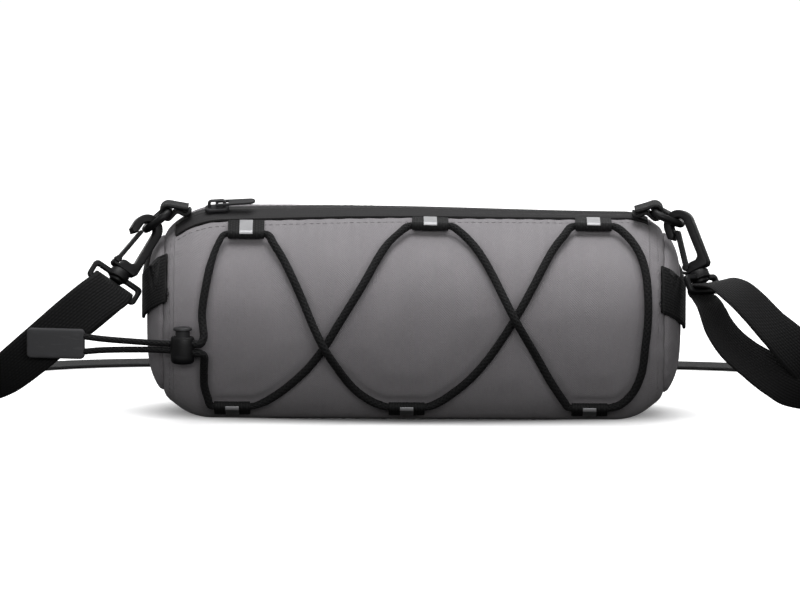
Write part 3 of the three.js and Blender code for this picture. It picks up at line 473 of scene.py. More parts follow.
def end_half(seam, z):
    """Half the end seam's height, above or below its middle."""
    return top_half(seam) - end_drop(seam, 1) if z >= MID_Z else MID_Z - end_drop(seam)


def end_x(side, y, z):
    seam = side * BAG.seam_x
    reach = math.hypot(y / (HALF_DEPTH - end_drop(seam)), (z - MID_Z) / end_half(seam, z))
    return BAG.seam_x + (BAG.length / 2 - BAG.seam_x) * (1 - min(1, reach) ** BAG.dome_power)


# Camera

camera_data = bpy.data.cameras.new("camera")
camera_data.sensor_width = CAMERA.sensor
camera_data.lens = CAMERA.sensor * CAMERA.distance / CAMERA.width
camera = added("camera", camera_data)
bpy.context.scene.camera = camera
tilt = math.radians(CAMERA.elevation)
view = Vector((0, -math.cos(tilt), math.sin(tilt)))
camera.location = Vector(CAMERA.target) + view * CAMERA.distance
camera.rotation_mode = "QUATERNION"
camera.rotation_quaternion = view.to_track_quat("Z", "Y")
camera.rotation_mode = "XYZ"
camera.rotation_euler.rotate_axis("Z", math.radians(CAMERA.roll))

# Materials, with the range where most of a noise's values lie

MOST = (0.3, 0.7)


class Look:
    """The nodes of a material or a world, with short ways to add them."""

    def __init__(self, name, kind="materials", shader="Principled BSDF"):
        self.owner = getattr(bpy.data, kind).new(name)
        self.owner.use_nodes = True
        self.tree = self.owner.node_tree
        self.shader = self.tree.nodes[shader]

    def node(self, kind, inputs=None, **settings):
        node = self.tree.nodes.new("ShaderNode" + kind)
        for key, value in settings.items():
            setattr(node, key, value)
        self.put(node, inputs or {})
        return node

    def put(self, node, inputs):
        for key, value in inputs.items():
            if isinstance(value, bpy.types.NodeSocket):
                self.tree.links.new(value, node.inputs[key])
            else:
                node.inputs[key].default_value = value

    def shade(self, **inputs):
        self.put(self.shader, {key.replace("_", " "): value for key, value in inputs.items()})

    def math(self, operation, *values):
        return self.node("Math", dict(enumerate(values)), operation=operation).outputs[0]

    def uv(self):
        split = self.node("SeparateXYZ", {"Vector": self.node("TexCoord").outputs["UV"]})
        return split.outputs["X"], split.outputs["Y"]

    def wave(self, length, period):
        return self.math("SINE", self.math("MULTIPLY", length, 2 * math.pi / period))

    def stretched(self, coords, stretch):
        spot = self.node("TexCoord").outputs[coords]
        return self.node("Mapping", {"Vector": spot, "Scale": stretch}).outputs[0]

    def noise(self, scale, stretch=(1, 1, 1), detail=3.0, coords="UV"):
        inputs = {"Vector": self.stretched(coords, stretch), "Scale": scale, "Detail": detail}
        return self.node("TexNoise", inputs).outputs["Fac"]

    def mix(self, amount, first, second):
        node = self.node("Mix", {0: amount, 6: (*first, 1), 7: (*second, 1)}, data_type="RGBA")
        return node.outputs[2]

    def level(self, value, low, high, to_low=0.0, to_high=1.0):
        inputs = {"Value": value, "From Min": low, "From Max": high, "To Min": to_low, "To Max": to_high}
        return self.node("MapRange", inputs).outputs[0]

    def bump(self, height, distance, strength):
        return self.node("Bump", {"Height": height, "Distance": distance, "Strength": strength}).outputs[0]


def woven_fabric(name, light, dark):
    """Plain weave of mixed light and dark threads."""
    look = Look(name)
    u, v = look.uv()
    pitch = 0.0011
    weave = look.math("MULTIPLY", look.wave(u, pitch), look.wave(v, pitch))
    threads = look.math("ADD", look.noise(1, (260, 2600, 1)), look.noise(1, (2600, 260, 1)))
    cloudy = look.noise(24, detail=4)
    tone = look.math("ADD", look.math("MULTIPLY", weave, 0.16), look.level(threads, 0.6, 1.4, -0.28, 0.28))
    tone = look.math("ADD", tone, look.level(cloudy, *MOST, 0.4, 0.6))
    height = look.math("ADD", weave, look.math("MULTIPLY", threads, 0.8))
    look.shade(Base_Color=look.mix(tone, dark, light), Roughness=look.level(threads, 0.6, 1.4, 0.8, 0.95))
    look.shade(Normal=look.bump(height, 0.00012, 0.7))
    look.shade(Sheen_Weight=0.12, Sheen_Roughness=0.5, Specular_IOR_Level=0.25)
    return look.owner


def webbing_weave(name, light, dark, row=0.00125, knuckle=0.0021):
    """Rows of thread knuckles, each row half a step along from the next, painted darker in the hollows
    between them.
    """
    look = Look(name)
    u, v = look.uv()
    which = look.math("FLOOR", look.math("DIVIDE", v, row))
    shifted = look.math("MULTIPLY_ADD", u, 2 * math.pi / knuckle, look.math("MULTIPLY", which, math.pi))
    knuckles = look.math("MULTIPLY_ADD", look.math("SINE", shifted), 0.5, 0.5)
    crown = look.math("ABSOLUTE", look.wave(v, 2 * row))
    height = look.math("MULTIPLY", crown, look.math("MULTIPLY_ADD", knuckles, 0.5, 0.5))
    fuzz = look.noise(1500, detail=2)
    # Painted shade: knuckle crowns are painted lighter and the hollows between them darker, following the
    # bump's height, with random fuzz on top.
    tone = look.math("ADD", look.math("MULTIPLY", height, 0.6), look.level(fuzz, *MOST, -0.1, 0.3))
    look.shade(Base_Color=look.mix(tone, dark, light), Roughness=look.level(fuzz, *MOST, 0.62, 0.8))
    look.shade(Normal=look.bump(height, 0.00028, 0.8), Sheen_Weight=0.02, Specular_IOR_Level=0.25)
    return look.owner


def braid(name, light, dark, step=0.0024, side_step=0.002):
    """Two families of threads that cross round a cord, painted darker in the hollows between their crests."""
    look = Look(name)
    u, v = look.uv()
    along = look.math("MULTIPLY", u, 2 * math.pi / step)
    around = look.math("MULTIPLY", v, 2 * math.pi / side_step)
    one = look.math("SINE", look.math("ADD", along, around))
    other = look.math("SINE", look.math("SUBTRACT", along, around))
    height = look.math("MAXIMUM", one, other)
    fuzz = look.noise(2200, detail=2)
    # Painted shade: thread crests are painted lighter and the gaps between them darker, following the bump's
    # height, with random fuzz on top.
    tone = look.math("ADD", look.level(height, -0.6, 1, 0, 0.7), look.level(fuzz, 0.35, 0.65, 0, 0.3))
    look.shade(Base_Color=look.mix(tone, dark, light), Roughness=look.level(fuzz, *MOST, 0.6, 0.8))
    look.shade(Normal=look.bump(height, 0.0002, 0.8), Specular_IOR_Level=0.22, Sheen_Weight=0.02)
    return look.owner


def moulded(name, light, dark, rough=(0.36, 0.52), grain=2600):
    """Moulded plastic or rubber with a fine grain and faint scuffs."""
    look = Look(name)
    fine = look.noise(grain, detail=2, coords="Object")
    scuffs = look.noise(160, (1, 1, 4), detail=5, coords="Object")
    worn = look.level(scuffs, 0.56, 0.74)
    look.shade(Base_Color=look.mix(worn, dark, light), Normal=look.bump(fine, 0.00006, 0.5))
    both = look.math("ADD", fine, scuffs)
    look.shade(Roughness=look.level(both, 0.7, 1.3, *rough), Specular_IOR_Level=0.3)
    return look.owner


def zip_cloth(name, light, dark):
    """Smooth coated tape with faint fine ribs."""
    look = Look(name)
    u, v = look.uv()
    ribs = look.math("ADD", look.wave(v, 0.0009), look.math("MULTIPLY", look.wave(u, 0.0012), 0.4))
    cloudy = look.noise(90, detail=4)
    look.shade(Base_Color=look.mix(look.level(cloudy, *MOST), dark, light))
    look.shade(Roughness=look.level(cloudy, *MOST, 0.58, 0.72), Normal=look.bump(ribs, 0.00005, 0.6))
    look.shade(Specular_IOR_Level=0.2)
    return look.owner


def reflective_tape(name, light, dark):
    """Silver tape with a fine beaded face."""
    look = Look(name)
    beads = look.node("TexVoronoi", {"Vector": look.node("TexCoord").outputs["UV"], "Scale": 1500})
    cloudy = look.noise(120, detail=4)
    look.shade(Base_Color=look.mix(look.level(cloudy, *MOST), dark, light), Metallic=0.35)
    look.shade(Roughness=look.level(cloudy, *MOST, 0.38, 0.5))
    look.shade(Normal=look.bump(beads.outputs["Distance"], 0.00005, 0.5))
    return look.owner


FABRIC = woven_fabric("bag_fabric", (0.335, 0.318, 0.332), (0.225, 0.213, 0.224))
ZIP_TAPE = zip_cloth("zip_cloth", (0.036, 0.035, 0.036), (0.026, 0.0255, 0.026))
BLACK_WEBBING = webbing_weave("black_webbing", (0.015, 0.015, 0.0155), (0.004, 0.004, 0.0042))
ELASTIC = braid("elastic_braid", (0.011, 0.011, 0.0115), (0.003, 0.003, 0.0032))
PLASTIC = moulded("black_plastic", (0.014, 0.014, 0.015), (0.006, 0.006, 0.0065))
ZIP_COATING = moulded("zip_coating", (0.045, 0.045, 0.047), (0.03, 0.03, 0.0315))
RUBBER = moulded("grey_rubber", (0.074, 0.074, 0.077), (0.055, 0.055, 0.058), rough=(0.55, 0.72), grain=1800)
SILVER = reflective_tape("silver_tape", (0.5, 0.5, 0.51), (0.42, 0.42, 0.43))
GREY_THREAD = braid("grey_thread", (0.4, 0.382, 0.397), (0.33, 0.315, 0.328), step=0.0011)
BLACK_THREAD = braid("black_thread", (0.035, 0.035, 0.036), (0.012, 0.012, 0.012), step=0.0011)


def webbing(name, shape, node):
    """A piece of black webbing."""
    make(name, shape, BLACK_WEBBING, [node])


# Cords: the lock's place, the two tails and their pull tab come first

lock_root = turned_about_z(LOCK.turn, surface(LOCK.x, front_angle(LOCK.x, LOCK.z)))
lock_place = turned_about_z(LOCK.turn, at(lock_root, (0, -(LOCK.depth / 2 + GAP + LOCK.stand_off), 0)))
tab_place = turned_about_z(TAB.turn, (TAB.x, TAB.y, TAB.z))
upright = axes((1, 0, 0), (0, 0, 1), (0, -1, 0), (0, 0, 0))


def tail_path(sign):
    inside = [at(lock_place, (x, 0, sign * LOCK.cord_spacing / 2)) for x in TAIL.in_lock]
    before = at(tab_place, (TAB.length / 2 + TAIL.before_tab, 0, sign * TAIL.before_spacing / 2))
    end = at(tab_place, (TAB.length / 2 - TAIL.in_tab, 0, sign * TAB.cord_spacing / 2))
    return smooth_path([*inside, before, end], 12)


tab_shape = plate(rounded_box(TAB.length, TAB.height, TAB.corner), TAB.thick, TAB.soft)
pull_tab = mould("tab_body", tab_shape.moved(upright).moved(tab_place), RUBBER, "pull_tab")

for name, sign in (("upper", 1), ("lower", -1)):
    path = tail_path(sign)
    tail = make(f"tail_{name}", tube(path, TAIL.radius), ELASTIC, [f"cord_tail_{name}"])
    length = float(run_along(path)[-1]) * MM

# Elastic lacing

LOOP_OUTER = LACE.solid + LOOP.slack + LOOP.thick
LOOP_MIDDLE = GAP + LOOP_OUTER - LACE.pressed


def loop_frame(x, cord_z, at_zip):
    """Where a loop sits on the fabric, and the distance from its root to the cord."""
    cord_angle = angle_under(x, cord_z, GAP + LOOP_OUTER)
    root_angle = cord_angle - LOOP.floor_turn
    if at_zip:
        root_angle = zip_angle(x) - degrees_across(ZIP.half + ZIP.groove + 1, x)
    middle = (cord_angle + root_angle) / 2
    across = surface(x, cord_angle) - surface(x, root_angle)
    out = surface_normal(x, middle)
    along = square_to(across, out)
    return axes(along, out, np.cross(along, out), surface(x, middle)), float(np.linalg.norm(across))


def lace_path():
    """The cord's middle line, pressed a little into the fabric between its loops."""
    def out_of_lock(sign):
        return [at(lock_place, (LOCK.length / 2 + reach, 0, sign * z)) for reach, z in LACE.lock_exit]

    points = out_of_lock(1)
    for stretch in LACE_ROUTE:
        if isinstance(stretch, tuple):
            name, way = stretch
            place, reach = loop_frame(*LOOPS[name])
            middle = at(place, (reach / 2, LOOP_MIDDLE, 0))
            half = LOOP.width / 2 + LOOP.straight
            points += [middle + (way * offset, 0, 0) for offset in spread(-half, half, 4)]
        else:
            for x, z, lift in stretch:
                angle = angle_under(x, z, LACE.solid + GAP + lift)
                rise = LACE.solid + GAP + lift - LACE.pressed * (1 - min(1, lift))
                points.append(surface(x, angle) + surface_normal(x, angle) * rise)
    return smooth_path(points + out_of_lock(-1)[::-1], 9)


lace = lace_path()
from_loop = np.min([np.hypot(*(lace - at(place, (reach / 2, LOOP_MIDDLE, 0)))[:, :2].T)
                    for place, reach in (loop_frame(*loop) for loop in LOOPS.values())], axis=0)
girth = np.interp(from_loop, [LOOP.width / 2 - 1, LOOP.width / 2 + 3], [LACE.squeezed, LACE.radius])
make("laced_cord", tube(lace, girth, 16), ELASTIC, ["elastic_cord"])

for name, loop in LOOPS.items():
    place, reach = loop_frame(*loop)
    root = -reach / 2
    radius = LACE.squeezed + 0.05 + LOOP.skin / 2
    line = np.vstack([[(root + 0.2, -1), (root + 1.4, 0)], arc(-root, LOOP_MIDDLE, radius, -90, 115, 16),
                      [(root + 2.8, 0.9), (root + 1.5, 0.4), (root + 0.2, -0.6)]])
    line = smooth_path(np.hstack([line, np.zeros((len(line), 1))]), 3)
    edges = np.tile((0.0, 0, 1), (len(line), 1))
    webbing(f"loop_{name}", band(line, edges, LOOP.width, LOOP.skin).moved(place), f"cord_loop_{name}")
    raised = line + np.cross(steps_along(line), edges) * (LOOP.skin / 2 + STRIPE.lift)
    stripe = band(raised[STRIPE.rows], edges[STRIPE.rows], STRIPE.width, STRIPE.thick)
    make(f"loop_stripe_{name}", stripe.moved(place), SILVER)

# Cord lock: an oval shell with a bore, and its sprung plunger

round_bore = np.stack(circle(56), 1)
oval = round_bore * (LOCK.length / 2, LOCK.depth / 2)
low, top = LOCK.bottom, LOCK.top
outside = [(low, 0.74), (low + 0.3, 0.84), (low + 1.2, 0.95), (low + 2.6, 0.99), (-2, 1), (1.5, 1),
           (top - 1.2, 0.98), (top - 0.4, 0.94), (top, 0.87)]
inside = [(top, LOCK.bore + 0.25), (top - 0.3, LOCK.bore), (LOCK.bore_floor, LOCK.bore)]
rings = [np.hstack([outline * scale, np.full((len(outline), 1), z)])
         for outline, levels in ((oval, outside), (round_bore, inside)) for z, scale in levels]
shell = grid(np.array(rings), False, True, "fan")
mould("lock_shell", shell.moved(lock_place), PLASTIC, "cord_lock_body")
stem, stem_end = LOCK.bore - GAP, LOCK.bore_floor + GAP + LOCK.travel
button, crown = top + LOCK.travel + 0.2, LOCK.button_top
plunger = lathe([(0.1, stem_end), (stem, stem_end), (stem, button), (3.9, button), (4.2, button + 0.25),
                 (4.2, crown - 0.9), (4.05, crown - 0.4), (3.6, crown - 0.1), (3, crown),
                 (2.4, crown - 0.25), (0.1, crown - 0.3)], 48)
mould("lock_button", plunger.moved(lock_place), ZIP_COATING, "cord_lock_plunger", "plunger")

# Fabric: the barrel's wall, pressed in by the cord and drawn in along its seams, each as a depth and a reach

GIVE = Sizes(cord=(1.05, 2.1), cord_flat=1.6, swell=0.8, broad=(0.55, 31), fine=(0.25, 12), seam=(0.7, 1.1),
             seam_gather=(0.35, 6), lip=(0.6, 0.7), lip_gather=(0.3, 5), end_broad=(0.45, 26),
             end_seam=(0.6, 1.1), end_gather=(0.4, 6))


def ruffled(points, depth, size):
    """Smooth unevenness."""
    flat = points.reshape(-1, 3) / size
    return depth * np.array([0.5 + 0.5 * noise.noise(Vector(p)) for p in flat]).reshape(points.shape[:-1])


def crease(distance, depth, reach):
    """A groove, by the distance from its middle."""
    return depth * np.exp(-(distance / reach) ** 2)


def pucker(phase, distance, depth, reach):
    """Small gathers beside a seam."""
    return depth * (0.5 + 0.5 * np.sin(phase)) * np.exp(-distance / reach)


def grid_normals(points, inside):
    along, across = np.gradient(points, axis=0), np.gradient(points, axis=1)
    normals = unit(np.cross(along, across))
    return normals * np.sign(np.sum(normals * (points - inside), -1, keepdims=True))


def cord_distance(points):
    tree = KDTree(len(lace))
    for index, place in enumerate(lace):
        tree.insert(place, index)
    tree.balance()
    return np.array([tree.find(p)[2] for p in points.reshape(-1, 3)]).reshape(points.shape[:-1])


xs = np.concatenate([
    spread(-BAG.seam_x + GAP / 2, ZIP.start - 0.7, 6), spread(ZIP.start - GAP, ZIP.end + GAP, 184),
    spread(ZIP.end + 0.7, BAG.seam_x - GAP / 2, 8),
])
over_zip = (xs > ZIP.start - 0.5) & (xs < ZIP.end + 0.5)
lip = degrees_across(np.where(over_zip, ZIP.half + ZIP.groove, GAP / 2), xs)
front_lip, back_lip = zip_angle(xs) - lip, zip_angle(xs) + lip
down_front = np.concatenate([[0, 0.003, 0.007, 0.012, 0.019], spread(0.028, 1, 118)])
up_back = np.concatenate([spread(0, 0.972, 44), [0.981, 0.988, 0.993, 0.997, 1]])
front = surface(xs[:, None], front_lip[:, None] + (-90 - front_lip[:, None]) * down_front)
back = surface(xs[:, None], 270 + (back_lip[:, None] - 270) * up_back)
across_floor = spread(0, 1, 8)[1:-1, None]
floor_strip = front[:, -1:] + (back[:, :1] - front[:, -1:]) * across_floor[None]
skin = np.concatenate([front, floor_strip, back], 1)
skin_x, skin_y, skin_z = np.moveaxis(skin, -1, 0)
normals = grid_normals(skin, np.stack([skin_x, np.zeros_like(skin_x), np.full_like(skin_x, MID_Z)], -1))

from_cord = cord_distance(skin)
from_seam = BAG.seam_x - np.abs(skin_x)
from_lip = np.concatenate([
    np.linalg.norm(front - front[:, :1], axis=-1),
    np.full(floor_strip.shape[:2], 99.0),
    np.linalg.norm(back - back[:, -1:], axis=-1),
], 1)
standing = 1 - smooth(-normals[..., 2], 0.75, 0.98)
on_front = smooth(-skin_y, 8, 26) * smooth(skin_z, 12, 24) * (1 - smooth(skin_z, 72, 84))
relief = -crease(np.clip(from_cord - GIVE.cord_flat, 0, None), *GIVE.cord)
relief += GIVE.swell * smooth(from_cord, 5, 20) * on_front * smooth(from_seam, 8, 26)
relief -= ruffled(skin, *GIVE.broad) + ruffled(skin + 50, *GIVE.fine)
relief -= crease(from_seam, *GIVE.seam)
relief -= pucker(skin_z * 0.62 + skin_y * 0.35, from_seam, *GIVE.seam_gather)
relief -= crease(from_lip, *GIVE.lip)
relief -= pucker(skin_x * 0.71, from_lip, *GIVE.lip_gather)
outer = skin + normals * (relief * standing)[..., None]
outer[..., 2] = np.maximum(outer[..., 2], 0)
inner = outer - normals * BAG.wall
inner[..., 2] = np.maximum(inner[..., 2], 0.5)
wall = grid(np.concatenate([outer, inner[:, ::-1]], 1), False, True, "strip")
barrel = make("barrel_fabric", wall, FABRIC, ["barrel_panel"])

# Domed ends

turns = np.concatenate([spread(90, -90, 46), spread(270, 90, 46)[:-1]])
scales = np.concatenate([spread(0.02, 0.9, 16), [0.925, 0.945, 0.96, 0.972, 0.981, 0.988, 0.994, 1]])
for name, end in ENDS.items():
    seam = BAG.seam_x + GAP / 2
    edge = surface(end.side * seam, turns)
    rise = (BAG.length / 2 - seam) * (1 - scales**BAG.dome_power)
    dome = np.stack([
        np.repeat(end.side * (seam + rise)[:, None], len(turns), 1),
        scales[:, None] * edge[None, :, 1],
        MID_Z + scales[:, None] * (edge[None, :, 2] - MID_Z),
    ], -1)
    out = grid_normals(dome, np.array([0.0, 0, MID_Z]))
    from_edge = np.linalg.norm(dome - dome[-1:], axis=-1)
    sunk = ruffled(dome, *GIVE.end_broad) + crease(from_edge, *GIVE.end_seam)
    sunk += pucker(turns * 0.42, from_edge, *GIVE.end_gather)
    outer_dome = dome - out * sunk[..., None]
    inner_dome = outer_dome - out * BAG.wall
    panel = grid(np.concatenate([outer_dome, inner_dome[::-1]], 0), False, True, "fan").with_flat_uvs(1, 2)
    make(f"end_fabric_{name}", panel, FABRIC, [f"end_panel_{name}"])

# Zip: two tapes that meet over a hidden coil, the slider and its pull


def tape(start, end):
    widths = spread(start, end, 12)
    x = spread(ZIP.start, ZIP.end, 160)
    angles = zip_angle(x)[:, None] + degrees_across(widths[None], x[:, None])
    from_coil = np.abs(widths)
    rail = crease(from_coil - 1.3, 0.2, 0.7) - crease(from_coil, 0.3, 0.5)
    rail -= 0.5 * smooth(from_coil, ZIP.half - 1.2, ZIP.half)
    top = surface(x[:, None], angles, -ZIP.proud - rail)
    bottom = surface(x[:, None], angles, np.full_like(widths, ZIP.thick - ZIP.proud))
    return grid(np.concatenate([top, bottom[:, ::-1]], 1), False, True, "strip")


for name, start, stop in (("front", -ZIP.half, -GAP / 2), ("back", GAP / 2, ZIP.half)):
    make(f"tape_{name}", tape(start, stop), ZIP_TAPE, [f"zip_tape_{name}"], sharp=60)

slider_angle = float(zip_angle(ZIP.slider_x))
slider_out = surface_normal(ZIP.slider_x, slider_angle)
slider_along = square_to((1, 0, 0), slider_out)
slider_place = axes(slider_along, np.cross(slider_out, slider_along), slider_out,
                    surface(ZIP.slider_x, slider_angle, -ZIP.proud) + slider_out * (GAP + SLIDER.lift))
foot = plate(rounded_box(SLIDER.length, SLIDER.width, 2.4), SLIDER.plate, 0.6)
foot.points[:, 2] += SLIDER.plate / 2
bridge = eased([(-4.1, 1.2), (-4.1, 4), (-3, SLIDER.bridge), (3, SLIDER.bridge), (4.1, 4), (4.1, 1.2),
                (2.7, 1.2), (2.7, SLIDER.arch), (-2.7, SLIDER.arch), (-2.7, 1.2)], 0.7)
slider_body = joined([foot, plate(bridge, 2.2, 0.3).moved(upright)])
mould("slider_body", slider_body.moved(slider_place), ZIP_COATING, "zip_slider")
blade = np.vstack([[(-0.6, -PULL.half)], arc(PULL.length - 2.4, 0, PULL.half - 0.5, -90, 90),
                   [(-0.6, PULL.half)]])
window = eased([(0.6, -PULL.window_half), (0.6, PULL.window_half), (PULL.window_end, PULL.window_half),
                (PULL.window_end, -PULL.window_half)], 0.5)
leaf = plate(eased(blade, 0.7), PULL.thick, 0.35, [window])
leaf.points[:, 2] += SLIDER.hinge_z
mould("pull_leaf", leaf.moved(slider_place), ZIP_COATING, "zip_pull", "zip_pull")

# Carrying pieces


def handle_path(side):
    out = GAP + WEBBING.thick / 2

    def height(y):
        end_z = HANDLE.left_z if side < 0 else HANDLE.right_z
        return end_z - HANDLE.sag * (1 - (y / HALF_DEPTH) ** 2)

    over = []
    for y in spread(-HANDLE.over, HANDLE.over, 24):
        z = height(y)
        nearest = min(max(MID_Z, z - WEBBING.wide / 2), z + WEBBING.wide / 2)
        swell = HANDLE.bulge * math.cos(y / HANDLE.over * math.pi / 2)
        over.append((side * (end_x(side, y, nearest) + out + swell), y, z))

    def corner(x, front):
        bare = float(HALF_DEPTH - end_drop(x))
        return side * (x + 0.7 * out), front * (bare + 0.8 * out), height(bare)

    ends = [[corner(HANDLE.end_x, front), corner(BAG.seam_x + 1, front)] for front in (-1, 1)]
    return smooth_path([*ends[0], *over, *ends[1][::-1]], 4)


def fabric_depth(x, z):
    """How far the fabric is from the bag's upright middle plane, at a place along it and a height."""
    if abs(x) <= BAG.seam_x:
        return abs(float(surface(x, front_angle(x, z))[1]))
    seam = math.copysign(BAG.seam_x, x)
    rise = min(1, (abs(x) - BAG.seam_x) / (BAG.length / 2 - BAG.seam_x))
    reach = (1 - rise) ** (1 / BAG.dome_power)
    up = (z - MID_Z) / end_half(seam, z)
    return float(HALF_DEPTH - end_drop(seam)) * math.sqrt(max(0, reach**2 - up**2))


def sewn_down(points, places):
    """Points on an upright handle, moved onto the fabric near its two sewn ends."""
    run = run_along(places)
    nearest = np.argmin(np.linalg.norm(points[:, None, :2] - places[None, :, :2], axis=-1), axis=1)
    held = 1 - smooth(np.minimum(run, run[-1] - run)[nearest], *HANDLE.held)
    depth = np.array([fabric_depth(x, z) for x, _, z in points]) + 1.4 * (GAP + WEBBING.thick / 2)
    inwards = np.clip(np.abs(places[nearest, 1]) - depth, 0, None)
    moved = points.copy()
    moved[:, 1] -= held * inwards * np.sign(points[:, 1])
    return moved


def ring_bar(end):
    return np.array([end.ring_x, end.ring_y, float(top_z(end.ring_x)) + end.lift])


def ring_bow(end, turn):
    turn = math.radians(turn)
    rise = RING.corner + (RING.depth - RING.corner) * math.cos(turn)
    return ring_bar(end) + unit(end.bow) * rise + np.array([0, RING.width / 2 * math.sin(turn), 0])


def ring_path(end):
    bow, half = unit(end.bow), RING.width / 2 - RING.corner

    def corner(sign, turn):
        turn = math.radians(turn)
        return ring_bar(end) + bow * RING.corner * (1 - math.cos(turn)) \
            + np.array([0, sign * (half + RING.corner * math.sin(turn)), 0])

    front, back = ([corner(sign, turn) for turn in (0, 30, 60)] for sign in (-1, 1))
    round_bow = [ring_bow(end, turn) for turn in spread(90, -90, 12)]
    return smooth_path([*front[::-1], ring_bar(end), *back, *round_bow], 5, closed=True)


def tab_path(end):
    wrap = RING.wire + 2 * GAP + WEBBING.thick / 2
    lie = ZIP.proud + GAP + WEBBING.thick / 2
    bar = ring_bar(end)

    def inwards(reach, z):
        return np.array([end.ring_x - end.side * reach, end.ring_y, z])

    def on_top(reach, rise):
        return inwards(reach, float(top_z(end.ring_x - end.side * reach)) + lie + rise)

    layer = WEBBING.thick + GAP
    sewn = on_top(RING.tab_reach, layer)

    def upper(reach):
        return inwards(reach, bar[2] + wrap + (sewn[2] - bar[2] - wrap) * reach / RING.tab_reach)

    round_bar = [bar + (end.side * wrap * math.cos(turn), 0, wrap * math.sin(turn))
                 for turn in np.radians(spread(-100, 105, 8))]
    under = [on_top(RING.tab_reach + 1, 0), on_top(0.85 * RING.tab_reach, 0),
             upper(0.46 * RING.tab_reach) - (0, 0, layer + GAP)]
    over = [upper(0.4 * RING.tab_reach), upper(0.7 * RING.tab_reach), sewn]
    return smooth_path([*under, *round_bar, *over], 4)


def hook_frame(end):
    along = unit(ring_bow(end, end.hang_at - 1) - ring_bow(end, end.hang_at + 1))
    up = square_to(end.lean, along)
    spine = np.cross(up, along)
    jaw = HOOK.crown + HOOK.jaw_inner - RING.wire - 2 * GAP
    return axes(spine, up, along, ring_bow(end, end.hang_at) - up * jaw - spine * 0.2)


def ring_frame(end):
    hook = hook_frame(end)
    up = hook[0][1]
    wide = square_to(end.across, up)
    return axes(wide, up, np.cross(wide, up), hook[1])


along_y = axes((1, 0, 0), (0, 0, -1), (0, 1, 0), (0, 0, 0))


def hook_shape():
    seat = HOOK.gate_half + 0.7 + 0.35
    outline = np.vstack([
        eased([(-6.2, 1.2), (-5.2, 0), (5.6, 0), (0.2 + HOOK.jaw_outer, 2)], 0.8)[3:-3],
        arc(0.2, HOOK.crown, HOOK.jaw_outer, 0, 180, 28),
        [(0.2 - HOOK.jaw_outer, HOOK.crown - 3.8), (-4.75, HOOK.crown - 5.4)],
        [(-HOOK.jaw_inner, HOOK.crown - 3.6)],
        arc(0.2, HOOK.crown, HOOK.jaw_inner, 180, 0, 22),
        [(0.2 + HOOK.jaw_inner, 6.5), (3, 5.5), (1.8, 4.6), (-1.2, 4.6)],
        arc(*HOOK.pivot, seat, 20, -150, 12),
    ])
    neck = lathe([(0.1, -6), (2.5, -6), (3, -5.8), (3.2, -5.5), (3.2, -4.7), (HOOK.neck, -4.7),
                  (HOOK.neck, 1), (0.1, 1)])
    return joined([plate(outline, HOOK.thick, 0.7), neck.moved(along_y)])


def gate_shape():
    pivot, tip = np.array(HOOK.pivot), np.array(HOOK.gate_tip)
    turn = math.degrees(math.atan2(*(tip - pivot)[::-1]))
    outline = np.vstack([arc(*pivot, HOOK.gate_half + 0.7, turn + 35, turn + 325, 20),
                         arc(*tip, HOOK.gate_half, turn - 90, turn + 90, 10)])
    return plate(outline, HOOK.gate_thick, 0.4)


def strap_ring_shape():
    bottom = SWIVEL.lower_bar - SWIVEL.lower_half
    slot_top = SWIVEL.top - SWIVEL.bar
    slot_height = slot_top - (SWIVEL.lower_bar + SWIVEL.lower_half)
    outline = rounded_box(SWIVEL.width, SWIVEL.top - bottom, 2.2) + (0, (SWIVEL.top + bottom) / 2)
    slot = rounded_box(SWIVEL.slot, slot_height, 1) + (0, slot_top - slot_height / 2)
    bore = HOOK.neck + GAP
    boss = lathe([(bore, slot_top), (4.3, slot_top), (4.6, slot_top + 0.3), (4.6, -0.9), (4.3, -0.5),
                  (3.9, -GAP), (bore, -GAP), (bore, slot_top)], 36)
    return joined([plate(outline, SWIVEL.thick, 0.75, [slot]), boss.moved(along_y)])


def round_ring(end, start, stop, sign):
    place = ring_frame(end)
    radius = math.hypot(SWIVEL.lower_half, SWIVEL.thick / 2) + GAP + WEBBING.thick / 2
    round_bar = arc(SWIVEL.lower_bar, 0, radius, start, stop, 8)
    return [(at(place, (0, up, out)), place[0][0] * sign) for up, out in round_bar]


def in_slider(points):
    return [(np.array([STRAP_SLIDER.x, STRAP_SLIDER.y + y, z]), np.array([-1.0, 0, 0])) for y, z in points]


def round_slider_bar(radius, start, stop, steps):
    return in_slider(arc(0, STRAP_SLIDER.bottom + STRAP_SLIDER.thick / 2, radius, start, stop, steps))


def strap_lie(per_span):
    """Places along the strap and the way one edge of it faces."""
    def lie(rows):
        return [(np.array(row[:3], float), row[3] if len(row) > 3 else None) for row in rows]

    given = [
        *lie(STRAP_SEWN_END), *round_ring(ENDS["left"], -95, 90, 1), *lie(STRAP_LEFT), *lie(STRAP_FLOOR),
        *in_slider([(16, 1), (10.5, 2.2), (7.6, 3.6)]),
        *round_slider_bar(STRAP_SLIDER.upper_turn, 15, 165, 6),
        *in_slider([(-6.6, 4), (-10, 3.3), (-16, 2.9)]), *lie(STRAP_RIGHT),
        *round_ring(ENDS["right"], 20, -140, -1), *lie(STRAP_RETURN),
        *in_slider([(-16, 0.95), (-10, 1.05), (-6.2, 1.3), (-4.1, 2.9)]),
        *round_slider_bar(STRAP_SLIDER.lower_turn, 190, -60, 8),
    ]
    places = smooth_path([place for place, _ in given], per_span)
    on_floor = np.cross(steps_along(places)[::per_span], (0, 0, 1))
    edges = np.array([flat if edge is None else edge for flat, (_, edge) in zip(on_floor, given)], float)
    return places, unit(picked(np.arange(len(places)) / per_span, np.arange(len(edges)), edges))


def bar_loop_path(x):
    out = GAP + BAR_LOOP.thick / 2
    on_back = [surface(x, angle) + surface_normal(x, angle) * (out + lift)
               for angle, lift in BAR_LOOP.on_back]
    return smooth_path([*on_back, *((x, y, z) for y, z in BAR_LOOP.behind)], 6, closed=True)


